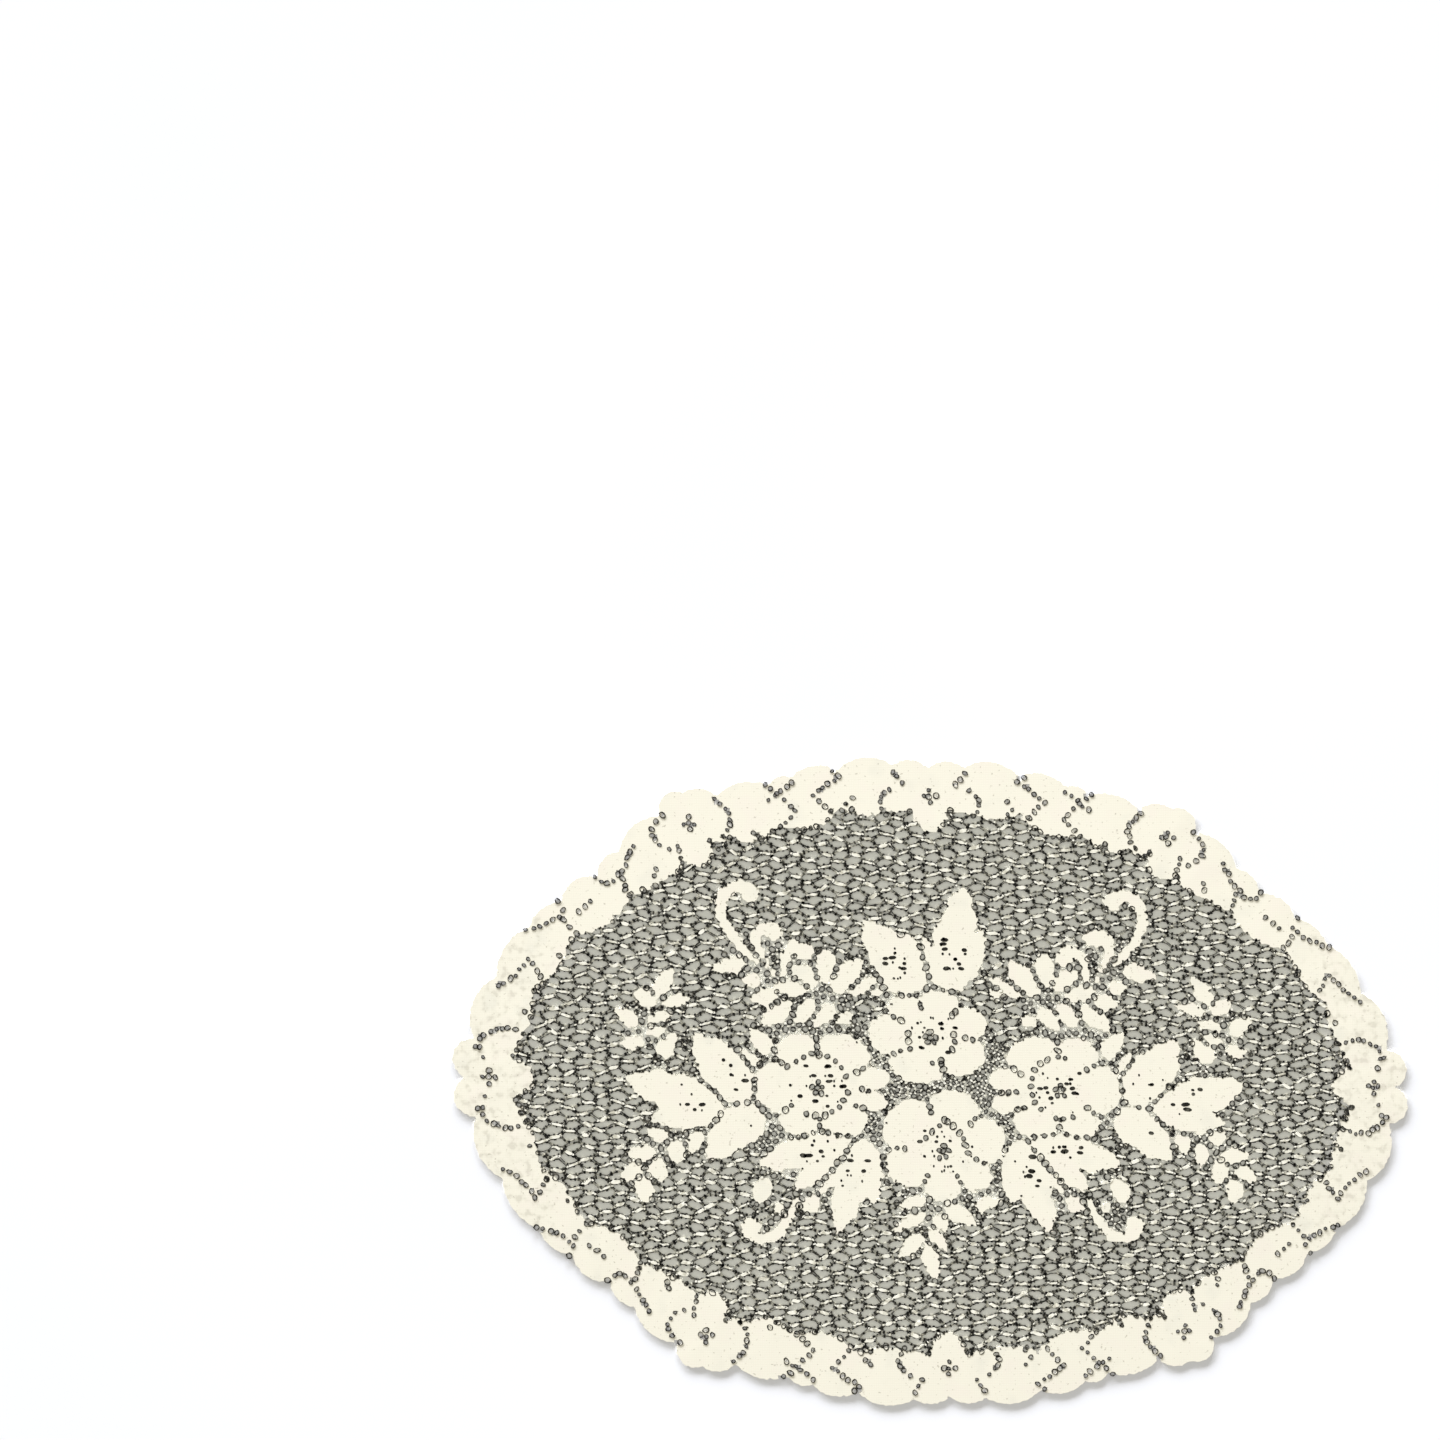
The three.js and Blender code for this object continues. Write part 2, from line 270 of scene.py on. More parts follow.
def strayed(points, seed):
    """Points moved a little off their even rows, as eyelets are in real lace."""
    return np.stack(kinked(*points.T, EYELET_STRAY, seed), axis=1)


# start x, y, end x, y, bow, count, from the end flower round to the far flower
BORDER_ROWS = [
    (205.5, 22, 229, 15.5, 5.5, 9), (226.5, 14.5, 225, 9.5, 0, 2), (210.5, 10.5, 207.5, 17, 0, 3),
    (204, 33, 204, 33, 0, 1), (217, 45, 202, 58.5, 1.5, 7), (199.8, 55.8, 193.8, 47, 0, 4),
    (186.5, 60, 186.5, 60, 0, 1), (202, 73, 186, 80, 1, 6), (183.4, 77.8, 178, 72, 0, 3),
    (184, 82.5, 186.5, 87.5, 0, 2), (170, 87.4, 176, 82, 0, 3), (151.5, 90.5, 154.5, 99, 0, 4),
    (156.5, 101, 168, 100, -4, 5), (154, 103.5, 148.5, 115, 0, 5), (124.5, 107.5, 126.5, 116.5, 0, 4),
    (131, 114, 134, 131, -6.5, 7), (138.5, 100.5, 138, 104, 0, 2), (103.5, 121, 107.5, 140, 5, 8),
    (106.5, 115.5, 110.5, 119.5, 0, 3), (79, 124.5, 68, 135.5, 1, 5), (70, 138, 82.5, 148.5, 0, 5),
    (81, 140.5, 68.5, 149.5, 0, 5), (86, 121.5, 88.5, 123.5, 0, 2), (50, 135.5, 58, 144, 0, 4),
    (56, 146, 45, 153.5, 0, 5), (48, 156, 48, 156, 0, 1), (39, 136.5, 39, 143, -3, 3),
    (22, 135, 20, 148, -4, 6), (13.5, 151, 17.8, 157, 0, 3), (10, 137, 10, 137, 0, 1),
]
FLOWERS = [(222.6, 0), (0, 145), (120.3, 127.4)]
FLOWER_CROSS = np.array([(0, 0), (2.9, 0), (-2.9, 0), (0, 3.1), (0, -3.1)])
border_eyelets = in_quarters(np.concatenate([row(*line) for line in BORDER_ROWS]))
flower_hearts = in_quarters(np.array(FLOWERS, float))
heart_eyelets = (flower_hearts[:, None] + FLOWER_CROSS[None]).reshape(-1, 2)
border_eyelets = strayed(np.concatenate([border_eyelets, heart_eyelets]), 30)
print("border eyelets:", len(border_eyelets), "flowers:", len(flower_hearts))

# %% [markdown]
# ## Roses
# The bouquet has four open roses. A rose could be petals laid over each other. Pressed flat, only its rim
# shows, so it is one oval disc whose rim swells between notches.

# %% A rose
ROSE_NOTCH, ROSE_SWELL, PETAL_POWER = 0.77, 1.06, 0.6
# middle x, y, half width, half height and the angles of the notches between the petals, degrees
SIDE_ROSE = (58.8, -2.5, 32.4, 26.5, (-145, -86, -38, 35, 86, 152, 186))
TOP_ROSE = (-4.0, 23.0, 29.0, 23.2, (-148, -74, -3, 51, 103, 144))
LOW_ROSE = (0.5, -32.0, 30.6, 27.2, (-175, -115, -68, -26, 41, 105))


def rose(x, y, middle_x, middle_y, half_width, half_height, notches):
    """Distance inside a rose: its radius swells as a power of a parabola from each notch to the next."""
    across, up = (x - middle_x) / half_width, (y - middle_y) / half_height
    stops = np.sort(np.mod(notches, 360))
    stops = np.append(stops, stops[0] + 360)
    angle = np.mod(np.degrees(np.arctan2(up, across)) - stops[0], 360) + stops[0]
    petal = np.clip(np.searchsorted(stops, angle, side="right") - 1, 0, len(stops) - 2)
    share = (angle - stops[petal]) / (stops[petal + 1] - stops[petal])
    swell = np.power(np.clip(4 * share * (1 - share), 0, 1), PETAL_POWER)
    rim = ROSE_NOTCH + (ROSE_SWELL - ROSE_NOTCH) * swell
    return (rim - np.hypot(across, up)) * np.sqrt(half_width * half_height)


rose_depth = rose(np.array(SIDE_ROSE[0]), np.array(SIDE_ROSE[1]), *SIDE_ROSE)
print("a rose is", round(float(rose_depth), 1), "mm deep at its middle")

# %% [markdown]
# ## Leaves
# A lace leaf is round at its base and sharp at its tip, with a few teeth. Its outline could be a drawn curve,
# but a power curve of its length already has that form. So a leaf is placed by its base, its tip and its
# width, and a large leaf is two or three of them grown together.

# %% A leaf
LEAF_ROUND, TEETH, TOOTH_STEP, LEFT_TOOTH, RIGHT_TOOTH = 0.55, 3, 0.25, 0.1, 0.5


def leaf(x, y, base_x, base_y, tip_x, tip_y, width, point, tooth):
    """Distance inside a leaf: half its width times share^round (1 - share)^point, scaled to 1 at its widest.

    Three teeth a side lean to the tip: each widens the leaf slowly, then steps in by the tooth's share."""
    run = np.array([tip_x - base_x, tip_y - base_y], float)
    length = np.hypot(*run)
    run /= length
    share = ((x - base_x) * run[0] + (y - base_y) * run[1]) / length
    left_of_run = (y - base_y) * run[0] - (x - base_x) * run[1]
    aside = np.abs(left_of_run)
    inner = np.clip(share, 0, 1)
    widest = LEAF_ROUND / (LEAF_ROUND + point)
    shape = np.power(inner, LEAF_ROUND) * np.power(1 - inner, point)
    shape = shape / (widest**LEAF_ROUND * (1 - widest) ** point)
    saw = np.mod(inner * TEETH + np.where(left_of_run > 0, LEFT_TOOTH, RIGHT_TOOTH), 1)
    shape = shape * (1 - tooth + tooth * saw * np.clip((1 - saw) / TOOTH_STEP, 0, 1))
    past = np.abs(share - inner) * length
    return np.where(past > 0, -np.hypot(past, aside), width / 2 * shape - aside)


leaf_depth = leaf(np.array(4.0), np.array(0.0), 0, 0, 10, 0, 4, 1, 0)
print("a leaf 10 by 4 mm is", round(float(leaf_depth), 2), "mm deep near its middle")

# %% [markdown]
# ## Scrolls
# Curled stems with a round head stand at the sides of the bouquet. They could be bent by hand, but a spiral
# that curls tighter and tighter already gives the look of a scroll. So each needs only its foot, its head and
# how far it turns, and discs along the spiral give its thickness.

# %% A scroll
SCROLL_STEPS, SCROLL_CURL, SCROLL_HEAD = 44, 3.0, 0.82


def scroll(x, y, foot_x, foot_y, head_x, head_y, turn, foot, waist, head):
    """Distance inside a scroll: the largest of discs along a spiral, from a thin foot to a round head.

    The spiral's direction turns by share^curl of the whole turn, and it is fitted from foot to head."""
    share = np.linspace(0, 1, SCROLL_STEPS)
    heading = np.exp(1j * np.radians(turn) * share**SCROLL_CURL)
    spiral = np.append(0, np.cumsum(heading[1:] + heading[:-1]))
    path = complex(foot_x, foot_y) + spiral / spiral[-1] * complex(head_x - foot_x, head_y - foot_y)
    in_head = np.clip((share - SCROLL_HEAD) / (1 - SCROLL_HEAD), 0, 1)
    size = foot + (waist - foot) * np.sqrt(share) + (head - waist) * in_head**2
    spot_x, spot_y, sizes = (values.astype(np.float32) for values in (path.real, path.imag, size))
    return in_blocks(lambda px, py: (sizes - np.hypot(px - spot_x, py - spot_y)).max(axis=1), x, y)


head_depth = scroll(np.array([10.0]), np.array([0.0]), 0, 0, 10, 0, 180, 1, 2, 3)
print("a scroll with a head of 3 mm is", head_depth, "mm deep there")

# %% [markdown]
# ## Drafting the bouquet
# The bouquet is nearly the same on both sides, so its leaves, small leaves and scrolls are drafted on the
# right and mirrored. The two leaves on top and the spray at the bottom stand alone. Tables of ends and widths
# are easy to change, and no outline has to be drawn.

# %% Tables of the bouquet
# base x, y, tip x, y and width, mm; these are mirrored
PAIRED_LEAVES = [
    [(95, -10.5, 121.6, 22.5, 24), (96, -9, 107, 15, 16)],
    [(108, -15, 156, 1, 22), (110, -15, 145, -20, 16)],
    [(91.5, -12.5, 117, -39, 21), (93, -13, 100, -33, 17)],
    [(45, -29, 91.5, -42, 18), (46, -29.5, 73, -30.5, 13), (48, -31, 74, -55, 14)],
    [(38.5, -29, 54, -77, 18), (38, -30, 35, -62, 14), (43, -34, 61.5, -56, 9)],
]
SINGLE_LEAVES = [
    [(-9.5, 46, -35, 81.5, 22), (-10, 46, -30, 62, 18), (-8, 46, -14.5, 76, 14)],
    [(4, 46.5, 16.5, 99.5, 22), (4, 47, -5.5, 74, 11), (6, 47, 25, 78, 18)],
]
PAIRED_LEAFLETS = [
    (54.7, 48.8, 55.1, 67.3, 9), (52.3, 45.3, 36.7, 62.1, 9.5), (59.8, 47.7, 72.4, 58, 8),
    (64, 46.1, 82, 47.8, 7), (87.7, 48.7, 97, 50.5, 5.6), (95, 59, 112, 55.2, 6.6),
    (79, 41.8, 93, 40.6, 6.6), (73, 39.5, 88, 27, 7.4), (61, 40.1, 71.6, 28.6, 7),
    (51.6, 38.3, 62.5, 26.6, 6.4), (44.4, 43.9, 27, 53, 5), (42.5, 33.6, 51, 29, 4.5),
    (83.5, 13.4, 94.2, 26.8, 6.6), (90.6, 6.2, 98.6, 16, 4.4), (33, 44, 26, 47.5, 4),
    (136.4, -29.3, 146, -25, 6), (142, -37.6, 157, -36.2, 7.2), (132.5, -30, 131.7, -42.5, 6.2),
    (143.2, -38.6, 139.8, -51.5, 7.2), (148.6, -42.4, 160.4, -49.6, 6.2), (149.6, -47.8, 147.6, -62, 6.8),
    (120, -25, 126.2, -37, 5.8), (140, 41.4, 130.6, 56, 6.4), (139.4, 37, 150.6, 44, 6.2),
    (137.4, 37.2, 121.6, 40.8, 4.8), (149, 26.6, 160.4, 35, 6.2), (144.6, 27.8, 131.8, 33.2, 4.8),
    (135.4, 25.2, 145.2, 22.3, 5), (138.8, 11.2, 130.8, 23.4, 7.2), (146, 18, 159, 17, 4.6),
    (69, -58.6, 63.6, -66, 8), (86, -57, 95, -52.4, 10), (80, -62, 84.5, -66, 4.6),
]
BOTTOM_LEAFLETS = [
    (-8.1, -59, -24.4, -64, 4.8), (-9.6, -66, -25.4, -75.8, 5.2), (-11, -77.6, -23.4, -88.8, 6.6),
    (-10, -81.6, -4.3, -101, 6.4), (-7, -73.6, 1, -85.8, 5.2), (-4, -67.4, 1.2, -77.6, 5.2),
    (0.6, -62.6, 16.8, -72.4, 6.4), (15.6, -63, 29.4, -59.6, 5.4),
]
# foot x, y, head x, y, turn in degrees, and the radius at the foot, along it and at the head, mm; mirrored
SCROLLS = [
    (84, 55.5, 91, 93.5, 200, 1.5, 3.3, 4.6), (81.5, 53.5, 80.5, 74.6, 185, 1.5, 3.1, 4.6),
    (76.5, 52, 65.4, 64.6, 175, 1.5, 3.0, 4.6), (73.4, -59.5, 96.6, -73.6, 160, 1.5, 3.1, 5.2),
]


def mirrored(table):
    """Rows with their places repeated across the middle of the mat: the x columns change sign."""
    rows = np.array(table, float)
    return np.concatenate([rows, rows * np.array([-1, 1, -1, 1, 1])])


leaves = [side for group in PAIRED_LEAVES for side in np.split(mirrored(group), 2)]
leaves += [np.array(group, float) for group in SINGLE_LEAVES]
leaflets = np.concatenate([mirrored(PAIRED_LEAFLETS), np.array(BOTTOM_LEAFLETS, float)])
left_rose = (-SIDE_ROSE[0], *SIDE_ROSE[1:4], tuple(180 - a for a in SIDE_ROSE[4]))
roses = [SIDE_ROSE, left_rose, TOP_ROSE, LOW_ROSE]
scrolls = np.concatenate([SCROLLS, np.array(SCROLLS) * (-1, 1, -1, 1, -1, 1, 1, 1)])
print("roses:", len(roses), "leaves:", len(leaves), "small leaves:", len(leaflets), "scrolls:", len(scrolls))

# %% [markdown]
# ## Joining the motifs
# Where two motifs of the bouquet meet, an open seam parts them, so each leaf of a spray shows. The seams
# could be drawn one by one. With fields they come by themselves: a seam is where the deepest motif is hardly
# deeper than the next one, and a short wave makes it wider and narrower.

# %% Motifs with seams between them
LEAF_POINT, LEAF_TOOTH, LEAF_FULLNESS = 0.74, 0.22, 1.11
LEAFLET_POINT, LEAFLET_FULLNESS = 0.85, 1.38
SEAM, SEAM_UNEVEN, FAR_OUTSIDE = 1.55, 0.8, -1e3


def bouquet(x, y):
    """Distance inside the bouquet's cloth: the largest over its motifs, less a seam where two are alike."""
    motifs = [rose(x, y, *numbers) for numbers in roses]
    for group in leaves:
        lobes = group * (1, 1, 1, 1, LEAF_FULLNESS)
        motifs.append(np.max([leaf(x, y, *numbers, LEAF_POINT, LEAF_TOOTH) for numbers in lobes], axis=0))
    full_leaflets = leaflets * (1, 1, 1, 1, LEAFLET_FULLNESS)
    motifs += [leaf(x, y, *numbers, LEAFLET_POINT, 0) for numbers in full_leaflets]
    motifs += [scroll(x, y, *numbers) for numbers in scrolls]
    first, second = np.full(x.shape, FAR_OUTSIDE), np.full(x.shape, FAR_OUTSIDE)
    for depth in motifs:
        second = np.maximum(second, np.minimum(first, depth))
        first = np.maximum(first, depth)
    seam = SEAM * (1 + SEAM_UNEVEN * np.sin(1.15 * x + 1.5 * np.sin(y / 5)) * np.cos(1.05 * y))
    return np.minimum(first, first - second - seam)


low_rose_depth = bouquet(np.array([LOW_ROSE[0]]), np.array([LOW_ROSE[1]]))
print("the cloth reaches", low_rose_depth, "mm round the middle of the low rose")

# %% [markdown]
# ## Eyelets of the bouquet
# A ring of eyelets shapes the inner petals of three roses, and two rows do so in the low one. Each rose has
# a small knot of eyelets at its heart, and pairs of them part its petals at the notches. They could be
# scattered, but rings and rows keep the look of knitting.

# %% Eyelets of roses
EYELET_PITCH, ROSE_EYELET, RING_LEAST, NOTCH_INSETS = 4.3, 1.3, -0.55, np.array([0.03, 0.15])
# ring middle x, y, radius, first and last angle in degrees
ROSE_RINGS = [
    (61.5, -2.0, 15.6, 50, 290), (-61.5, -2.0, 15.6, -110, 130), (-3.4, 21.8, 11.8, 165, 375),
]
ROSE_KNOT = np.array([(0, 2.4), (-2.3, 0.2), (2.3, 0.2), (-1.6, -2.8), (1.6, -2.8), (0, -0.4)])
KNOT_PLACES = [(61, -3), (-61, -3), (-3.6, 22.5), (1, -35)]
SINGLE_ROWS = [(1.5, -18.5, -7.5, -28, 1, 4), (3.5, -20, 13.5, -36, 2, 6)]


def ring_row(middle_x, middle_y, radius, first, last):
    """Even points along a round arc, spaced by the eyelets' pitch."""
    count = int(round(np.radians(last - first) * radius / EYELET_PITCH)) + 1
    angle = np.radians(np.linspace(first, last, count))
    return np.stack([middle_x + radius * np.cos(angle), middle_y + radius * np.sin(angle)], axis=1)


def notch_rows(middle_x, middle_y, half_width, half_height, notches):
    """Two eyelets running in from each notch of a rose, at fixed shares of its radius."""
    angle = np.radians(notches)[:, None]
    share = ROSE_NOTCH - NOTCH_INSETS
    x = middle_x + half_width * share * np.cos(angle)
    y = middle_y + half_height * share * np.sin(angle)
    return np.stack([x, y], axis=-1).reshape(-1, 2)


bouquet_eyelets = np.concatenate(
    [some_of(ring_row(*ring), 33, RING_LEAST) for ring in ROSE_RINGS]
    + [np.array(place) + ROSE_KNOT for place in KNOT_PLACES]
    + [notch_rows(*numbers) for numbers in roses]
    + [row(*line) for line in SINGLE_ROWS]
)
bouquet_eyelets = strayed(bouquet_eyelets, 34)
print("bouquet eyelets:", len(bouquet_eyelets))

# %% [markdown]
# ## How thick the cloth is
# Pressed lace is flat right up to its edges. It is a little thinner at its outer edge, where it is pulled
# out, than by the net. A Solidify modifier would give one thickness all over, so the height of the face is a
# formula of place instead.

# %% Height of the cloth's face
EDGE_HEIGHT, CLOTH_HEIGHT, CLOTH_SWELL, THIN_WIDTH = 0.42, 0.54, 0.003, 28.0


def cloth_top(x, y):
    """Height of the cloth's face: it rises in from the outer edge, plus a slow swell of two crossed waves."""
    inward = np.clip(inside_line(x, y, outer_edge) / THIN_WIDTH, 0, 1)
    swell = np.sin(x / 9.1 + 1.3 * np.sin(y / 13.7)) * np.cos(y / 7.3)
    return EDGE_HEIGHT + (CLOTH_HEIGHT - EDGE_HEIGHT) * inward + CLOTH_SWELL * swell


print("height at the mat's middle:", cloth_top(np.zeros(1), np.zeros(1)), "mm")

# %% [markdown]
# ## Edges of a grid
# To turn a field into cloth, a fine grid is laid over the draft. Marching squares would cut its cells along
# the edge, but it leaves slivers. Here grid points close to the edge slide onto it, along the field's slope,
# and the sides that only one cell uses are the edges that need a wall.

# %% Sliding points and finding open sides
SLIDE_ROUNDS, PROBE, LEAST_SLOPE, TINY = 2, 0.05, 0.05, 1e-6


def sides_of(faces):
    """All directed sides of an array of faces."""
    return np.stack([faces, np.roll(faces, -1, axis=1)], axis=-1).reshape(-1, 2)


def open_sides(count, *face_sets):
    """The directed sides that only one face uses: the edges of the cloth."""
    sides = np.concatenate([sides_of(faces) for faces in face_sets])
    key = sides.min(axis=1).astype(np.int64) * count + sides.max(axis=1)
    _, place, uses = np.unique(key, return_index=True, return_counts=True)
    return sides[place[uses == 1]]


def slide_to_edge(field, x, y, most):
    """Two steps down the field's slope onto its zero line, no further than most."""
    from_x, from_y = x.copy(), y.copy()
    for _ in range(SLIDE_ROUNDS):
        depth = field(x, y)
        slope_x = (field(x + PROBE, y) - depth) / PROBE
        slope_y = (field(x, y + PROBE) - depth) / PROBE
        steep = np.maximum(slope_x**2 + slope_y**2, LEAST_SLOPE)
        x, y = x - depth * slope_x / steep, y - depth * slope_y / steep
    gone = np.hypot(x - from_x, y - from_y)
    keep = np.minimum(1, most / np.maximum(gone, TINY))
    return from_x + (x - from_x) * keep, from_y + (y - from_y) * keep


print("two cells side by side have", len(open_sides(6, np.array([[0, 1, 4, 3], [1, 2, 5, 4]]))), "open sides")

# %% [markdown]
# ## From field to cloth
# Cells whose corners are all on cloth become faces, and a cell that lacks one corner becomes a triangle.
# Points where the cloth would hang together by a corner alone are cleared away. A flat copy underneath gives
# the thickness, and walls close the edges.

# %% Cutting cloth from a field
NEAR_SHARE, SLIDE_SHARE, SURE_DEPTH, CLEARING_ROUNDS = 0.55, 0.7, 0.02, 12


def faces_on(on_cloth):
    """Faces of a grid by its points on cloth: whole cells, and triangles where one corner is missing."""
    index = np.arange(on_cloth.size).reshape(on_cloth.shape)
    corners = [index[:-1, :-1], index[:-1, 1:], index[1:, 1:], index[1:, :-1]]
    cells = np.stack(corners, axis=-1).reshape(-1, 4)
    on = on_cloth.ravel()[cells]
    whole, part = cells[on.all(axis=1)], cells[on.sum(axis=1) == 3]
    missing = (~on_cloth.ravel()[part]).argmax(axis=1)
    corner = (missing[:, None] + np.arange(1, 4)[None, :]) % 4
    return whole, np.take_along_axis(part, corner, axis=1)


def without_pinches(count, whole, part):
    """The faces that are left when those at a point with two open sides going out are cleared, in rounds."""
    for _ in range(CLEARING_ROUNDS):
        ends = open_sides(count, whole, part)
        pinched = np.bincount(ends[:, 0], minlength=count) > 1
        if not pinched.any():
            break
        whole = whole[~pinched[whole].any(axis=1)]
        part = part[~pinched[part].any(axis=1)]
    return whole, part


def cut_cloth(field, reach, step):
    """Points and faces of cloth where the field is positive: grid cells on it, an underside and walls."""
    x, y = np.meshgrid(*(np.arange(-most, most + step, step) for most in reach))
    depth = field(x, y)
    near = np.abs(depth) < NEAR_SHARE * step
    x[near], y[near] = slide_to_edge(field, x[near], y[near], SLIDE_SHARE * step)
    flat_x, flat_y = x.ravel(), y.ravel()
    sets = faces_on((depth > 0) | near)
    sets = [f[field(flat_x[f].mean(axis=1), flat_y[f].mean(axis=1)) > SURE_DEPTH] for f in sets]
    whole, part = without_pinches(x.size, *sets)
    used = np.unique(np.concatenate([whole.ravel(), part.ravel()]))
    renumber = np.full(x.size, -1)
    renumber[used] = np.arange(len(used))
    whole, part = renumber[whole], renumber[part]
    flat_x, flat_y = flat_x[used], flat_y[used]
    top = lay(flat_x, flat_y, cloth_top(flat_x, flat_y))
    under = lay(flat_x, flat_y, np.zeros(len(used)))
    ends = open_sides(len(used), whole, part)
    below = len(used)
    walls = np.stack([ends[:, 0] + below, ends[:, 1] + below, ends[:, 1], ends[:, 0]], axis=1)
    quads = np.concatenate([whole, whole[:, ::-1] + below, walls])
    triangles = np.concatenate([part, part[:, ::-1] + below])
    return np.concatenate([top, under]), quads, triangles


disc_points, *_ = cut_cloth(lambda x, y: 5 - np.hypot(x, y), (6, 6), 1.0)
print("a disc of 10 mm takes", len(disc_points), "points")

# %% [markdown]
# ## Knitted edges
# Lace is knitted course by course, so its edges step a little at each course and are never quite even. The
# steps could be cut into the finished mesh. It is simpler to bend the field: heights are drawn towards whole
# courses, and slow waves are added to the depth.

# %% Fields of the border and the bouquet
COURSE_PITCH, COURSE_STEP = 2.5, 0.95
OUTER_RAGGED, OUTER_INSET, INNER_WAVES = 0.35, 0.3, 0.8
MOTIF_RAGGED, MOTIF_WAVY, MOTIF_WAVES = 0.6, 0.7, 0.4


def ragged(x, y):
    """Unevenness of a knitted edge, from -1 to 1: two crossed waves a few stitches long."""
    return 0.5 * (np.sin(1.7 * x + 1.2 * np.sin(0.9 * y)) + np.sin(1.55 * y + 1.4 * np.sin(0.8 * x)))


def in_courses(y):
    """Heights drawn towards whole courses, as a smooth stair: a line less a sine wave of one course."""
    return y - COURSE_STEP * COURSE_PITCH / (2 * np.pi) * np.sin(2 * np.pi * y / COURSE_PITCH)


def border_field(x, y):
    """The border's cloth: the band between its uneven edges, less its eyelets."""
    outer = inside_line(x, y, outer_edge) + OUTER_RAGGED * ragged(x, y) - OUTER_INSET
    inner = ragged(INNER_WAVES * x, INNER_WAVES * y) - inside_line(x, in_courses(y), inner_edge)
    return np.minimum(np.minimum(outer, inner), from_eyelets(x, y, border_eyelets, BORDER_EYELET))


def bouquet_field(x, y):
    """The bouquet's cloth: its motifs with uneven edges, less their eyelets."""
    motifs = bouquet(x, in_courses(y)) + MOTIF_RAGGED * ragged(x, y)
    motifs = motifs + MOTIF_WAVY * ragged(MOTIF_WAVES * x, MOTIF_WAVES * y)
    return np.minimum(motifs, from_eyelets(x, y, bouquet_eyelets, ROSE_EYELET))


print("a course drawn in:", np.round(in_courses(np.linspace(0, COURSE_PITCH, 6)), 2))

# %% [markdown]
# ## The cloth of border and bouquet
# Both are the same knitted cloth, so they become one piece. Its mesh could be built face by face with bmesh.
# foreach_set hands a whole array to Blender at once, which is much faster for so many faces.

# %% One piece of cloth
BORDER_REACH, BORDER_STEP, BOUQUET_REACH, BOUQUET_STEP = (243, 167), 1.3, (168, 106), 1.0
SHARP_ANGLE = np.radians(65)


def make_mesh(name, points, *face_sets):
    """A mesh object at the origin from an array of points and arrays of faces, one for each side count."""
    faces = [f for f in face_sets if len(f)]
    loops = np.concatenate([f.ravel() for f in faces]).astype(np.int32)
    sizes = np.concatenate([np.full(len(f), f.shape[1]) for f in faces])
    starts = np.concatenate([[0], np.cumsum(sizes)[:-1]]).astype(np.int32)
    mesh = bpy.data.meshes.new(name)
    mesh.vertices.add(len(points))
    mesh.vertices.foreach_set("co", points.astype(np.float32).ravel())
    mesh.loops.add(len(loops))
    mesh.loops.foreach_set("vertex_index", loops)
    mesh.polygons.add(len(sizes))
    mesh.polygons.foreach_set("loop_start", starts)
    mesh.polygons.foreach_set("use_smooth", np.ones(len(sizes), bool))
    mesh.update(calc_edges=True)
    mesh.validate()
    piece = bpy.data.objects.new(name, mesh)
    bpy.context.scene.collection.objects.link(piece)
    print(name, "points:", len(points), "triangles:", int((sizes - 2).sum()))
    return piece


border_points, border_quads, border_triangles = cut_cloth(border_field, BORDER_REACH, BORDER_STEP)
motif_points, motif_quads, motif_triangles = cut_cloth(bouquet_field, BOUQUET_REACH, BOUQUET_STEP)
cloth_points = np.concatenate([border_points, motif_points])
cloth_quads = np.concatenate([border_quads, motif_quads + len(border_points)])
cloth_triangles = np.concatenate([border_triangles, motif_triangles + len(border_points)])
lace_cloth = make_mesh("lace_cloth", cloth_points, cloth_quads, cloth_triangles)
lace_cloth.data.set_sharp_from_angle(angle=SHARP_ANGLE)

# %% [markdown]
# ## Threads as flat tapes
# The net, the rings and the stitches are threads. They could be curves with a bevel, one object each. Here
# a small profile is carried along each path, and all threads of a kind go into one mesh: the paths are one
# array of threads by steps, and the profiles are added to it. Four sides make a flat tape with a level top,
# which is what a pressed thread looks like from above.

# %% Carrying a profile along many paths
THREAD_SIDES = 4
PROFILE_ANGLE = 2 * np.pi * (np.arange(THREAD_SIDES) + 0.5) / THREAD_SIDES
PROFILE_REACH = 1 / np.cos(np.pi / THREAD_SIDES)


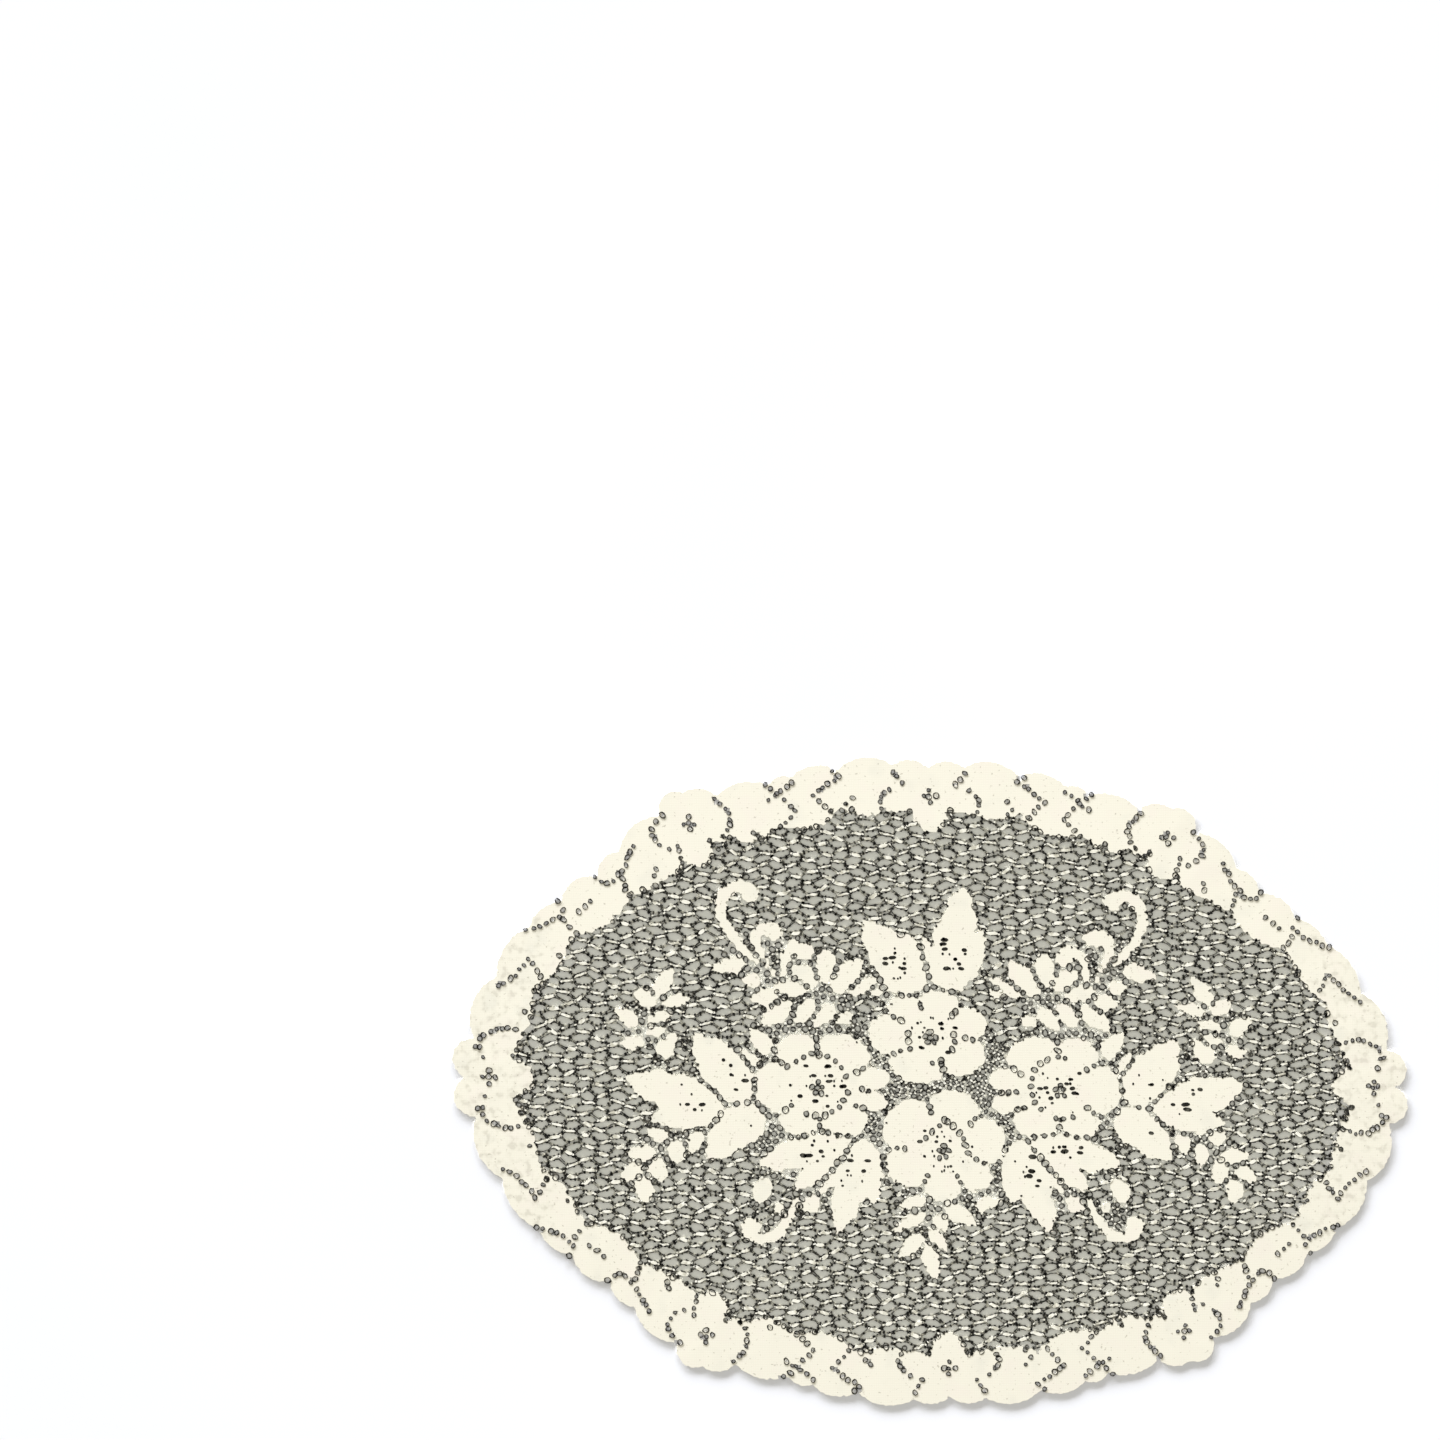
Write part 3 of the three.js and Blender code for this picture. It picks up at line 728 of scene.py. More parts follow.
def threads(name, x, y, z, half_width, half_height, closed):
    """Threads along paths given as arrays of threads by steps: at each step a profile stands across the path.

    Its corners lie half a side off the level, so its top and bottom sides are level."""
    count, steps = x.shape
    z, half_width, half_height = (np.broadcast_to(v, x.shape) for v in (z, half_width, half_height))
    if closed:
        run_x, run_y = np.roll(x, -1, 1) - np.roll(x, 1, 1), np.roll(y, -1, 1) - np.roll(y, 1, 1)
    else:
        run_x, run_y = np.gradient(x, axis=1), np.gradient(y, axis=1)
    size = np.hypot(run_x, run_y)
    aside = half_width[..., None] * np.cos(PROFILE_ANGLE) * PROFILE_REACH
    px = x[..., None] - (run_y / size)[..., None] * aside
    py = y[..., None] + (run_x / size)[..., None] * aside
    pz = z[..., None] + half_height[..., None] * np.sin(PROFILE_ANGLE) * PROFILE_REACH
    index = np.arange(count * steps * THREAD_SIDES).reshape(count, steps, THREAD_SIDES)
    after = np.roll(index, -1, axis=1) if closed else index[:, 1:]
    here = index if closed else index[:, :-1]
    quads = [here, np.roll(here, -1, 2), np.roll(after, -1, 2), after]
    faces = [np.stack(quads, axis=-1).reshape(-1, 4)]
    if not closed:
        faces += [index[:, 0, ::-1], index[:, -1]]
    piece = make_mesh(name, lay(px.ravel(), py.ravel(), pz.ravel()), *faces)
    piece.data.set_sharp_from_angle(angle=SHARP_ANGLE)
    return piece


print("corners of a thread's profile, in degrees:", np.degrees(PROFILE_ANGLE))

# %% [markdown]
# ## Gaps between the motifs
# Where motifs of the bouquet stand close, the gaps between them are filled with a close mesh. Their outlines
# could be drawn. They are found by closing instead: the cloth is grown by a few millimetres and shrunk again,
# and what stays filled is a gap.

# %% Finding the gaps
GAP_STEP, GAP_REACH, GAP_MARGIN = 0.75, (172, 110), 1
MOTIF_REACH, ROSE_REACH, OFF_CLOTH = 5.5, 9.0, 0.75
gap_x, gap_y = np.meshgrid(*(np.arange(-reach, reach, GAP_STEP) for reach in GAP_REACH))
gap_depth = bouquet(gap_x, gap_y)


def grown(places, reach):
    """Places grown by a reach in millimetres: shifted every way within it, and combined."""
    cells = int(reach / GAP_STEP)
    shift = np.arange(-cells, cells + 1)
    wide = np.zeros(places.shape, bool)
    for move in [(i, j) for i in shift for j in shift if i * i + j * j <= cells**2]:
        wide |= np.roll(places, move, axis=(0, 1))
    return wide


def closing(cloth, reach):
    """Cloth grown and then shrunk again, which is what is left when everything else grows back."""
    return ~grown(~grown(cloth, reach), reach)


in_roses = np.max([rose(gap_x, gap_y, *numbers) for numbers in roses], axis=0) > 0
rose_gap = closing(in_roses, ROSE_REACH) & (gap_depth < -OFF_CLOTH)
closed_gap = closing(gap_depth > 0, MOTIF_REACH) | rose_gap
leaf_gap = closed_gap & (gap_depth < -OFF_CLOTH) & ~rose_gap
filled_gap = rose_gap | leaf_gap


def is_gap(x, y):
    """Whether places lie in a filled gap between motifs, read from the nearest place of the grid."""
    across, up = (np.round((at + reach) / GAP_STEP).astype(int) for at, reach in zip((x, y), GAP_REACH))
    on_grid = (np.abs(x) < GAP_REACH[0] - GAP_MARGIN) & (np.abs(y) < GAP_REACH[1] - GAP_MARGIN)
    return filled_gap[np.clip(up, 0, gap_x.shape[0] - 1), np.clip(across, 0, gap_x.shape[1] - 1)] & on_grid


gap_areas = [int(places.sum() * GAP_STEP**2) for places in (rose_gap, leaf_gap)]
print("gaps between roses and between leaves, in square millimetres:", gap_areas)

# %% [markdown]
# ## The close mesh
# The mesh in the gaps is made of little rings, with knots of ivory yarn between them. An even grid of rings
# would look stamped. So they are set one by one, deepest place first, each clearing the room it needs, and
# the knots then take the places that are left.

# %% Setting rings and knots in the gaps
MESH_PITCH, KNOT_PITCH, LEAF_PITCH, KNOT_CLEAR, SHUFFLE = 3.0, 1.6, 3.7, 0.35, 0.3


def set_rings(wanted, order, taken, pitch):
    """Places picked one by one in order, each at least a pitch from those picked before."""
    spots = np.stack([gap_x[wanted], gap_y[wanted]], axis=1)
    spots = spots[np.argsort(order[wanted] + SHUFFLE * wobble(spots[:, 0], spots[:, 1], 3))]
    for place in taken:
        spots = spots[np.hypot(*(spots - place).T) > pitch]
    picked = []
    while len(spots):
        picked.append(spots[0])
        spots = spots[np.hypot(*(spots - spots[0]).T) > pitch]
    return np.array(picked)


gap_rings = set_rings(rose_gap, gap_depth, bouquet_eyelets, MESH_PITCH)
taken = np.concatenate([bouquet_eyelets, gap_rings])
rose_knots = set_rings(rose_gap, gap_depth, taken, KNOT_PITCH)
leaf_rings = set_rings(leaf_gap, gap_depth, taken, LEAF_PITCH)
taken = np.concatenate([taken, leaf_rings])
gap_knots = np.concatenate([rose_knots, set_rings(leaf_gap, gap_depth, taken, LEAF_PITCH / 2)])
gap_knots = gap_knots[bouquet_field(*gap_knots.T) < -KNOT_CLEAR]
print("rings between roses:", len(gap_rings), "between leaves:", len(leaf_rings), "knots:", len(gap_knots))

# %% [markdown]
# ## Rings and knots along the edges
# Here and there a ring lines the open edge of a motif or of the border, and knots sit on those edges, where
# the cloth's thread turns back; their near-black colour is painted shade at the edge. They could be spaced
# evenly, but on real lace some are missing, so the scatter of each place decides. Both stay off the filled
# gaps, which have rings enough.

# %% Places along the edges
EDGE_PITCH, EDGE_FROM, EDGE_BEST, EDGE_TO, EDGE_LEAST = 3.3, 0.6, 1.1, 1.8, 0.45
RIM_PITCH, RIM_NEAR, RIM_CLEAR, RIM_LEAST = 2.5, 0.45, 1.0, -0.3
BAND_SLIDE, BAND_CLOSEST, BAND_RING_LEAST, BAND_KNOT_LEAST = 1.5, 0.7, 0.3, 0.0


def along_band(pitch):
    """Even places along the band's inner edge, slid onto the edge of its cloth."""
    side = np.hypot(*(np.roll(inner_edge, -1, axis=0) - inner_edge).T)
    run = np.concatenate([[0], np.cumsum(side)])
    even = np.arange(0, run[-1], pitch)
    closed = np.concatenate([inner_edge, inner_edge[:1]])
    places = [np.interp(even, run, closed[:, axis]) for axis in (0, 1)]
    places = np.stack(slide_to_edge(border_field, *places, BAND_SLIDE), axis=1)
    return places[np.hypot(*(places - np.roll(places, 1, axis=0)).T) > BAND_CLOSEST * pitch]


by_edge = ~closed_gap & (gap_depth < -EDGE_FROM) & (gap_depth > -EDGE_TO)
edge_rings = some_of(set_rings(by_edge, np.abs(gap_depth + EDGE_BEST), taken, EDGE_PITCH), 16, EDGE_LEAST)
band_rings = some_of(along_band(EDGE_PITCH), 19, BAND_RING_LEAST)
rim_depth = np.abs(bouquet_field(gap_x, gap_y))
on_rim = (rim_depth < RIM_NEAR) & (from_eyelets(gap_x, gap_y, bouquet_eyelets, ROSE_EYELET) > RIM_CLEAR)
on_rim &= ~grown(filled_gap, RIM_PITCH)
motif_knots = some_of(set_rings(on_rim, rim_depth, [], RIM_PITCH), 28, RIM_LEAST)
rim_knots = np.concatenate([motif_knots, some_of(along_band(RIM_PITCH), 29, BAND_KNOT_LEAST)])
print("rings along edges:", len(edge_rings) + len(band_rings), "knots along edges:", len(rim_knots))

# %% [markdown]
# ## Rings
# Every eyelet is bound by a ring of thread, and the close mesh is made of such rings. The rings are coloured
# near black for the shade in and round each hole, which is painted shade. Copies of one torus would all look
# alike, and in real lace no two rings do. So each is an oval path with its own size, stretch and turn, a few
# small kinks, and a line that is heavier between the roses than elsewhere.

# %% Binding rings
RING_STEPS, RING_UNEVEN, RING_STRETCH, RING_KINK = 9, 0.3, 0.2, 0.14
LINE_HALF, LINE_UNEVEN, LINE_LESS, OFF_TABLE = 0.245, 0.55, 0.04, 0.01
# places, then their rings' radius, half height and weight of line, mm
ring_sets = [
    (border_eyelets, 1.15, 0.27, 1), (bouquet_eyelets, 1.36, 0.285, 1), (edge_rings, 1.3, 0.28, 1),
    (band_rings, 1.25, 0.28, 1), (leaf_rings, 1.42, 0.28, 1), (gap_rings, 1.22, 0.28, 1.1),
]
ring_x, ring_y = np.concatenate([places for places, *_ in ring_sets]).T
ring_numbers = [np.full((len(places), 3), numbers) for places, *numbers in ring_sets]
ring_size, ring_high, ring_weight = np.concatenate(ring_numbers).T
ring_size = ring_size * (1 + RING_UNEVEN * wobble(ring_x, ring_y, 5))
ring_stretch = 1 + RING_STRETCH * wobble(ring_x, ring_y, 6)
ring_turn = np.pi * wobble(ring_x, ring_y, 7)
round_angle = 2 * np.pi * np.arange(RING_STEPS) / RING_STEPS
out_x = ring_size[:, None] * ring_stretch[:, None] * np.cos(round_angle)
out_y = ring_size[:, None] / ring_stretch[:, None] * np.sin(round_angle)
turn_cos, turn_sin = np.cos(ring_turn)[:, None], np.sin(ring_turn)[:, None]
path_x = ring_x[:, None] + out_x * turn_cos - out_y * turn_sin
path_y = ring_y[:, None] + out_x * turn_sin + out_y * turn_cos
path_x, path_y = kinked(path_x, path_y, RING_KINK, 23)
ring_line = LINE_HALF * (ring_weight * np.sqrt(ring_size))[:, None]
ring_thick = ring_line * (1 + LINE_UNEVEN * wobble(path_x, path_y, 8)) - LINE_LESS
ring_high = ring_high[:, None]
# the rings' near-black finish is painted shade of the holes
eyelet_rings = threads("eyelet_rings", path_x, path_y, ring_high + OFF_TABLE, ring_thick, ring_high, True)

# %% [markdown]
# ## Joints of the net
# The ground is a net of six-sided cells, wider than high, in columns that step up and down by half a cell.
# A Wireframe modifier on a hexagon grid would give even bars. Real net is uneven, so the joints are moved
# first: bars tilt and columns waver by turns, and the whole ground drifts slowly. Cells that share a joint
# share its wobble, so they fit together.

# %% Cells of the net
NET_COLUMNS, NET_ROWS, COLUMN_PITCH, ROW_PITCH = 28, 25, 7.65, 5.68
COLUMN_WAVER, BAR_TILT, BAR_LEAN, NET_DRIFT, DRIFT_UP = 1.0, 0.6, 0.12, 0.5, 0.4
STRAY_ALONG, STRAY_UP, NET_COVER = 0.7, 0.5, 1.6


def joint(x, y):
    """A joint of the net moved off the even pattern: its bar tilts and its column wavers by turns.

    A slow drift of the ground, two bent sine waves, and the joint's own wobble are added."""
    column = np.round(x / COLUMN_PITCH)
    right_end = np.sign(x - column * COLUMN_PITCH)
    by_turns = 1 - 2 * np.mod(np.round(y / ROW_PITCH - 0.5 - 0.5 * (column % 2)), 2)
    waver = COLUMN_WAVER * by_turns * (1 - 2 * (column % 2))
    tilt = (BAR_TILT * by_turns + BAR_LEAN) * right_end
    drift_x = NET_DRIFT * np.sin(y / 3.3 + 2.6 * np.sin(x / 9))
    drift_y = DRIFT_UP * NET_DRIFT * np.sin(x / 5.7 + 2.4 * np.sin(y / 8))
    moved_x = x + waver + drift_x + STRAY_ALONG * wobble(x, y, 1)
    moved_y = y + tilt + drift_y + STRAY_UP * wobble(x, y, 2)
    return moved_x, moved_y


def is_net(x, y, cover):
    """Whether places are in the open net: inside the band, out of the gaps, and at most cover under cloth."""
    ground = inside_line(x, y, inner_edge) > -cover
    return ground & (bouquet(x, y) < cover) & ~is_gap(x, y)


columns, rows_up = np.meshgrid(np.arange(-NET_COLUMNS, NET_COLUMNS + 1), np.arange(-NET_ROWS, NET_ROWS + 1))
cell_x = (columns * COLUMN_PITCH).ravel()
cell_y = ((rows_up + 0.5 * (columns % 2)) * ROW_PITCH).ravel()
flat, point, rise = COLUMN_PITCH / 3, COLUMN_PITCH * 2 / 3, ROW_PITCH / 2
joint_x = cell_x[:, None] + np.array([point, flat, -flat, -point, -flat, flat])
joint_y = cell_y[:, None] + np.array([0, rise, rise, 0, -rise, -rise])
joint_x, joint_y = joint(joint_x, joint_y)
open_cell = is_net(joint_x.mean(axis=1), joint_y.mean(axis=1), NET_COVER)
joint_x, joint_y = joint_x[open_cell], joint_y[open_cell]
print("cells of the net:", len(joint_x))

# %% [markdown]
# ## Loops of the net
# In warp-knitted lace each cell is its own loop of thread. One grid of bars would be simpler, but loops
# give the real look: side by side they press together into one thick line, and above and below they part a
# little, where the ivory yarn of the next step runs through. So each loop is a ring carried round its six
# joints.

# %% Loops round the cells
LOOP_PART, LOOP_EASE, LOOP_KINK = 0.82, 0.25, 0.25
SIDE_HALF, LEVEL_HALF, LOOP_UNEVEN, LEAST_HALF = 0.22, 0.25, 0.14, 0.08
LOOP_HIGH, LOOP_BY_CLOTH, COVERED = 0.275, 0.2, 0.3


def loop_path(at):
    """Twelve places round a cell: its six joints and the middles of its sides, eased at the corners."""
    halves = np.arange(2) / 2
    path = (at[..., None] + (np.roll(at, -1, axis=1) - at)[..., None] * halves).reshape(len(at), -1)
    between = 0.5 * (np.roll(path, 1, axis=1) + np.roll(path, -1, axis=1))
    return path + LOOP_EASE * (between - path)


is_level = np.arange(6) % 3 == 1
loop_x = loop_path(joint_x)
loop_y = loop_path(joint_y + LOOP_PART * np.array([0, -1, -1, 0, 1, 1]))
loop_x, loop_y = kinked(loop_x, loop_y, LOOP_KINK, 21)
loop_half = np.repeat(np.where(is_level, LEVEL_HALF, SIDE_HALF), 2)
loop_half = np.maximum(loop_half + LOOP_UNEVEN * wobble(loop_x, loop_y, 9), LEAST_HALF)
by_cloth = np.maximum(bouquet_field(loop_x, loop_y), border_field(loop_x, loop_y)) > COVERED
loop_high = np.where(by_cloth, LOOP_BY_CLOTH, LOOP_HIGH)
# the loops' near-black finish is painted shade; the real net thread is cream
net_loops = threads("net_loops", loop_x, loop_y, loop_high + OFF_TABLE, loop_half, loop_high, True)

# %% [markdown]
# ## Knots of the net
# Where the thread of a loop turns over itself it makes a small knot, so a line of the net looks beaded. The
# knots are coloured near black for the shade at the joints, which is painted shade.
# Round beads would take dozens of faces each, and there are thousands. A knot here is a short flat length of
# thread laid over the loop, with two steps and six faces. The wobble of each place decides whether one sits
# there, and the places along the edges of the cloth get smaller ones.

# %% Dark knots along the loops
KNOT_LONG, KNOT_WIDE, RIM_KNOT, KNOT_UNEVEN = 0.46, 0.68, 0.8, 0.3
LEVEL_LEAST, SIDE_LEAST, KNOT_MIDDLE, KNOT_HALF = -0.55, -0.05, 0.295, 0.28
knot_least = np.repeat(np.where(is_level, LEVEL_LEAST, SIDE_LEAST), 2)
has_knot = (wobble(loop_x, loop_y, 25) > knot_least) & ~by_cloth
run_x = np.roll(loop_x, -1, axis=1) - np.roll(loop_x, 1, axis=1)
run_y = np.roll(loop_y, -1, axis=1) - np.roll(loop_y, 1, axis=1)
rim_turn = np.pi * wobble(rim_knots[:, 0], rim_knots[:, 1], 31)
knot_turn = np.append(np.arctan2(run_y, run_x)[has_knot], rim_turn)[:, None]
knot_at_x = np.append(loop_x[has_knot], rim_knots[:, 0])[:, None]
knot_at_y = np.append(loop_y[has_knot], rim_knots[:, 1])[:, None]
knot_size = np.append(np.ones(has_knot.sum()), np.full(len(rim_knots), RIM_KNOT))[:, None]
knot_long = KNOT_LONG * knot_size * (1 + KNOT_UNEVEN * wobble(knot_at_x, knot_at_y, 26))
knot_reach = knot_long * np.array([[-1, 1]])
knot_x = knot_at_x + knot_reach * np.cos(knot_turn)
knot_y = knot_at_y + knot_reach * np.sin(knot_turn)
knot_wide = KNOT_WIDE * knot_size * (1 + KNOT_UNEVEN * wobble(knot_at_x, knot_at_y, 27))
# the knots' near-black finish is painted shade
net_knots = threads("net_knots", knot_x, knot_y, KNOT_MIDDLE, knot_wide, KNOT_HALF, False)

# %% [markdown]
# ## Flecks
# A thicker ivory yarn floats over the level sides of the cells and shows as short slanting flecks, with tiny
# specks of it at some joints and in the close mesh. Painted on, they would lie under the dark loops. So each
# is a pressed spindle above them: a flat thread that swells and shrinks along a slightly bent path.

# %% Where the yarn shows
BAR_CLEAR, BAR_LEAST, SPECK_CLEAR, SPECK_LEAST = 1.6, -0.86, 0.6, -0.6
bar_x, bar_y = joint_x[:, 1:3].mean(axis=1), joint_y[:, 1:3].mean(axis=1)
bar_run_x, bar_run_y = joint_x[:, 1] - joint_x[:, 2], joint_y[:, 1] - joint_y[:, 2]
shows = is_net(bar_x, bar_y, -BAR_CLEAR) & (wobble(bar_x, bar_y, 17) > BAR_LEAST)
bar_x, bar_y, bar_run_x, bar_run_y = (values[shows] for values in (bar_x, bar_y, bar_run_x, bar_run_y))
speck_x, speck_y = joint_x[:, :2].ravel(), joint_y[:, :2].ravel()
shows = is_net(speck_x, speck_y, -SPECK_CLEAR) & (wobble(speck_x, speck_y, 18) > SPECK_LEAST)
speck_x, speck_y = np.append(speck_x[shows], gap_knots[:, 0]), np.append(speck_y[shows], gap_knots[:, 1])
yarn_x, yarn_y = np.concatenate([bar_x, speck_x]), np.concatenate([bar_y, speck_y])
is_speck = np.arange(len(yarn_x)) >= len(bar_x)
print("flecks:", len(bar_x), "specks:", len(speck_x))

# %% Ivory flecks
FLECK_STEPS, FLECK_MIDDLE, FLECK_HALF, FLECK_BEND, BLUNT = 6, 0.5, 0.12, 0.42, 1.04
BAR_SHARE, SPECK_LONG, LONG_UNEVEN = 0.46, 0.68, 0.25
BAR_WIDE, SPECK_WIDE, WIDE_UNEVEN = 0.72, 0.44, 0.36
BAR_SLANT, SPECK_SLANT = 12, 50
bar_slant = np.append(np.arctan2(bar_run_y, bar_run_x), np.zeros(len(speck_x)))
slant = bar_slant + np.radians(np.where(is_speck, SPECK_SLANT, BAR_SLANT)) * wobble(yarn_x, yarn_y, 11)
slant = slant[:, None]
bar_half = np.append(BAR_SHARE * np.hypot(bar_run_x, bar_run_y), np.full(len(speck_x), SPECK_LONG))
half = (bar_half * (1 + LONG_UNEVEN * wobble(yarn_x, yarn_y, 12)))[:, None]
share = np.linspace(-1, 1, FLECK_STEPS)[None, :]
bend = np.where(is_speck, 0, FLECK_BEND * wobble(yarn_x, yarn_y, 13))[:, None] * np.sin(np.pi * share)
fleck_x = yarn_x[:, None] + half * share * np.cos(slant)
fleck_y = yarn_y[:, None] + half * share * np.sin(slant) + bend
swell = np.sqrt(np.clip(BLUNT - share**2, 0, 1))
wide = np.where(is_speck, SPECK_WIDE, BAR_WIDE) * (1 + WIDE_UNEVEN * wobble(yarn_x, yarn_y, 14))
net_flecks = threads("net_flecks", fleck_x, fleck_y, FLECK_MIDDLE, wide[:, None] * swell, FLECK_HALF, False)

# %% [markdown]
# ## Pinholes in painted shade
# Small dark dots and dashes mark the hearts of the roses and the bases of the leaves. On the real mat they
# are pinholes, dark with the shade in them. Cut as holes they would need a far finer cloth, so they are short
# near-black threads that lie flat in its face, in level courses as they were knitted; their colour is painted
# shade. A seeded generator scatters them, so each run is the same.

# %% Dots on roses and dashes on leaves
ROSE_DOTS, DOT_NEAR, DOT_FAR, DOT_OVAL = 26, 5, 16, 0.8
PAIRED_DASHES, SINGLE_DASHES, MOST_DASHES = [7, 7, 1, 11, 10], 8, 11
DASH_FROM, DASH_TO, DASH_ASIDE = 0.2, 0.55, 0.3
scatter = np.random.default_rng(11)
dot_sets = []
for place_x, place_y in KNOT_PLACES:
    angle = scatter.uniform(0, 2 * np.pi, ROSE_DOTS)
    radius = scatter.uniform(DOT_NEAR, DOT_FAR, ROSE_DOTS)
    dot_x, dot_y = place_x + radius * np.cos(angle), place_y + DOT_OVAL * radius * np.sin(angle)
    dot_sets.append(np.stack([dot_x, dot_y], axis=1))
rose_dots = np.concatenate(dot_sets)
# the main lobe of each leaf, and the two leaves on top once more, since they are shaded most
main_leaves = np.array([group[0] for group in leaves])
main_leaves = np.concatenate([main_leaves, main_leaves[-2:]])
leaf_counts = np.concatenate([np.repeat(PAIRED_DASHES, 2), np.full(4, SINGLE_DASHES)])
share = scatter.uniform(DASH_FROM, DASH_TO, (len(main_leaves), MOST_DASHES))
aside = scatter.uniform(-DASH_ASIDE, DASH_ASIDE, (len(main_leaves), MOST_DASHES))
base_x, base_y, tip_x, tip_y, leaf_wide = (column[:, None] for column in main_leaves.T)
along_x, along_y = tip_x - base_x, tip_y - base_y
leaf_long = np.hypot(along_x, along_y)
dash_x = base_x + along_x * share - along_y / leaf_long * aside * leaf_wide
dash_y = base_y + along_y * share + along_x / leaf_long * aside * leaf_wide
in_use = np.arange(MOST_DASHES) < leaf_counts[:, None]
leaf_dashes = np.stack([dash_x[in_use], dash_y[in_use]], axis=1)
print("dots on roses:", len(rose_dots), "dashes on leaves:", len(leaf_dashes))

# %% Stitches in the face of the cloth
LEAST_LONG, LEAF_LONGER, ROSE_LONGER, LONG_POWER = 0.45, 1.9, 1.2, 2.5
LEAST_THICK, THICK_BY_LENGTH, THICK_SPREAD = 0.36, 0.24, 0.3
OFF_COURSE, STITCH_CLEAR, STITCH_STEPS, STITCH_TILT, STITCH_BLUNT, STITCH_HALF = 0.35, 1.0, 5, 0.2, 1.1, 0.02
stitches = np.concatenate([rose_dots, leaf_dashes])
count = len(stitches)
longer = np.where(np.arange(count) >= len(rose_dots), LEAF_LONGER, ROSE_LONGER)
half_long = LEAST_LONG + longer * scatter.uniform(0, 1, count) ** LONG_POWER
half_thick = LEAST_THICK + THICK_BY_LENGTH * half_long + scatter.uniform(0, THICK_SPREAD, count)
course = COURSE_PITCH * np.round(stitches[:, 1] / COURSE_PITCH)
stitches[:, 1] = course + scatter.uniform(-OFF_COURSE, OFF_COURSE, count)
clear = bouquet_field(stitches[:, 0], stitches[:, 1]) > STITCH_CLEAR
stitch_x, stitch_y = (column[:, None] for column in stitches[clear].T)
half_long, half_thick = half_long[clear][:, None], half_thick[clear][:, None]
share = np.linspace(-1, 1, STITCH_STEPS)[None, :]
bead_x = stitch_x + half_long * share
bead_y = stitch_y + STITCH_TILT * half_long * share * wobble(stitch_x, stitch_y, 15)
bead_thick = half_thick * np.sqrt(np.clip(STITCH_BLUNT - share**4, 0, 1))
# near-black threads for the pinholes: their colour is painted shade
painted_pinholes = threads("painted_pinholes", bead_x, bead_y, CLOTH_HEIGHT, bead_thick, STITCH_HALF, False)

# %% [markdown]
# ## Finishes
# All of it is one cream yarn, dense in the motifs and fine and shadowed in the net. A picture of yarn could
# be wrapped on, but it would blur close up. Small trees of nodes stay sharp: noise gives blotches and specks,
# and crossed ribs give the knit. Every finish reads Object coordinates, so it stays put in any view.

# %% Node helpers
SPECULAR, RIB_BEND, RIB_DETAIL, WAVE_RADIANS = 0.2, 1.2, 1.0, 20


def new_finish(name, rough):
    """A new finish, with its tree, its Principled shader and its Object coordinates."""
    finish = bpy.data.materials.new(name)
    finish.use_nodes = True
    tree = finish.node_tree
    shader = tree.nodes["Principled BSDF"]
    shader.inputs["Roughness"].default_value = rough
    shader.inputs["Specular IOR Level"].default_value = SPECULAR
    place = tree.nodes.new("ShaderNodeTexCoord").outputs["Object"]
    return finish, tree, shader, place


def noise(tree, place, scale, detail):
    """Soft noise of so many lumps a metre."""
    node = tree.nodes.new("ShaderNodeTexNoise")
    node.inputs["Scale"].default_value = scale
    node.inputs["Detail"].default_value = detail
    tree.links.new(place, node.inputs["Vector"])
    return node.outputs["Fac"]


def ramp(tree, value, stops):
    """Colours along a value: a list of place and colour."""
    node = tree.nodes.new("ShaderNodeValToRGB")
    steps = node.color_ramp.elements
    while len(steps) < len(stops):
        steps.new(0.5)
    for step, (at, colour) in zip(steps, stops):
        step.position = at
        step.color = (*colour, 1)
    tree.links.new(value, node.inputs["Fac"])
    return node.outputs["Color"]


def multiplied(tree, first, second):
    """One colour multiplied by another."""
    node = tree.nodes.new("ShaderNodeMix")
    node.data_type = "RGBA"
    node.blend_type = "MULTIPLY"
    node.inputs["Factor"].default_value = 1.0
    tree.links.new(first, node.inputs["A"])
    tree.links.new(second, node.inputs["B"])
    return node.outputs["Result"]


def computed(tree, kind, *values):
    """A value worked out from one or two others."""
    node = tree.nodes.new("ShaderNodeMath")
    node.operation = kind
    for socket, value in zip(node.inputs, values):
        tree.links.new(value, socket)
    return node.outputs["Value"]


def rib_scale(pitch):
    """Scale of a wave node for ribs of a pitch in metres: at scale 1 its wave runs 20 radians a metre."""
    return 2 * np.pi / (WAVE_RADIANS * pitch)


def ribs(tree, place, direction, pitch):
    """Even ribs of a pitch in metres across one direction, slightly bent."""
    node = tree.nodes.new("ShaderNodeTexWave")
    node.bands_direction = direction
    node.inputs["Scale"].default_value = rib_scale(pitch)
    node.inputs["Distortion"].default_value = RIB_BEND
    node.inputs["Detail"].default_value = RIB_DETAIL
    tree.links.new(place, node.inputs["Vector"])
    return node.outputs["Fac"]


def bumped(tree, shader, height, strength, depth):
    """Relief from a height, in metres."""
    node = tree.nodes.new("ShaderNodeBump")
    node.inputs["Strength"].default_value = strength
    node.inputs["Distance"].default_value = depth
    tree.links.new(height, node.inputs["Height"])
    tree.links.new(node.outputs["Normal"], shader.inputs["Normal"])


print("wave scale of ribs 1 mm apart:", round(rib_scale(MM), 1))

# %% [markdown]
# ## The cream knit
# Close up, the cloth shows fine wales crossed by courses, faint warm and grey blotches and a few specks, and
# towards the mat's ends grey mottles darken it. The knit's hollows are painted a little darker, which is
# painted shade. Each of these is one ramp of colours over noise or ribs, and they are multiplied together.
# The knit also gives a slight relief.

# %% Finish of the cloth
CREAM, PALE_GREY, BLUSH = (0.905, 0.862, 0.74), (0.855, 0.82, 0.71), (0.905, 0.848, 0.74)
WHITE, BLACK = (1, 1, 1), (0, 0, 0)
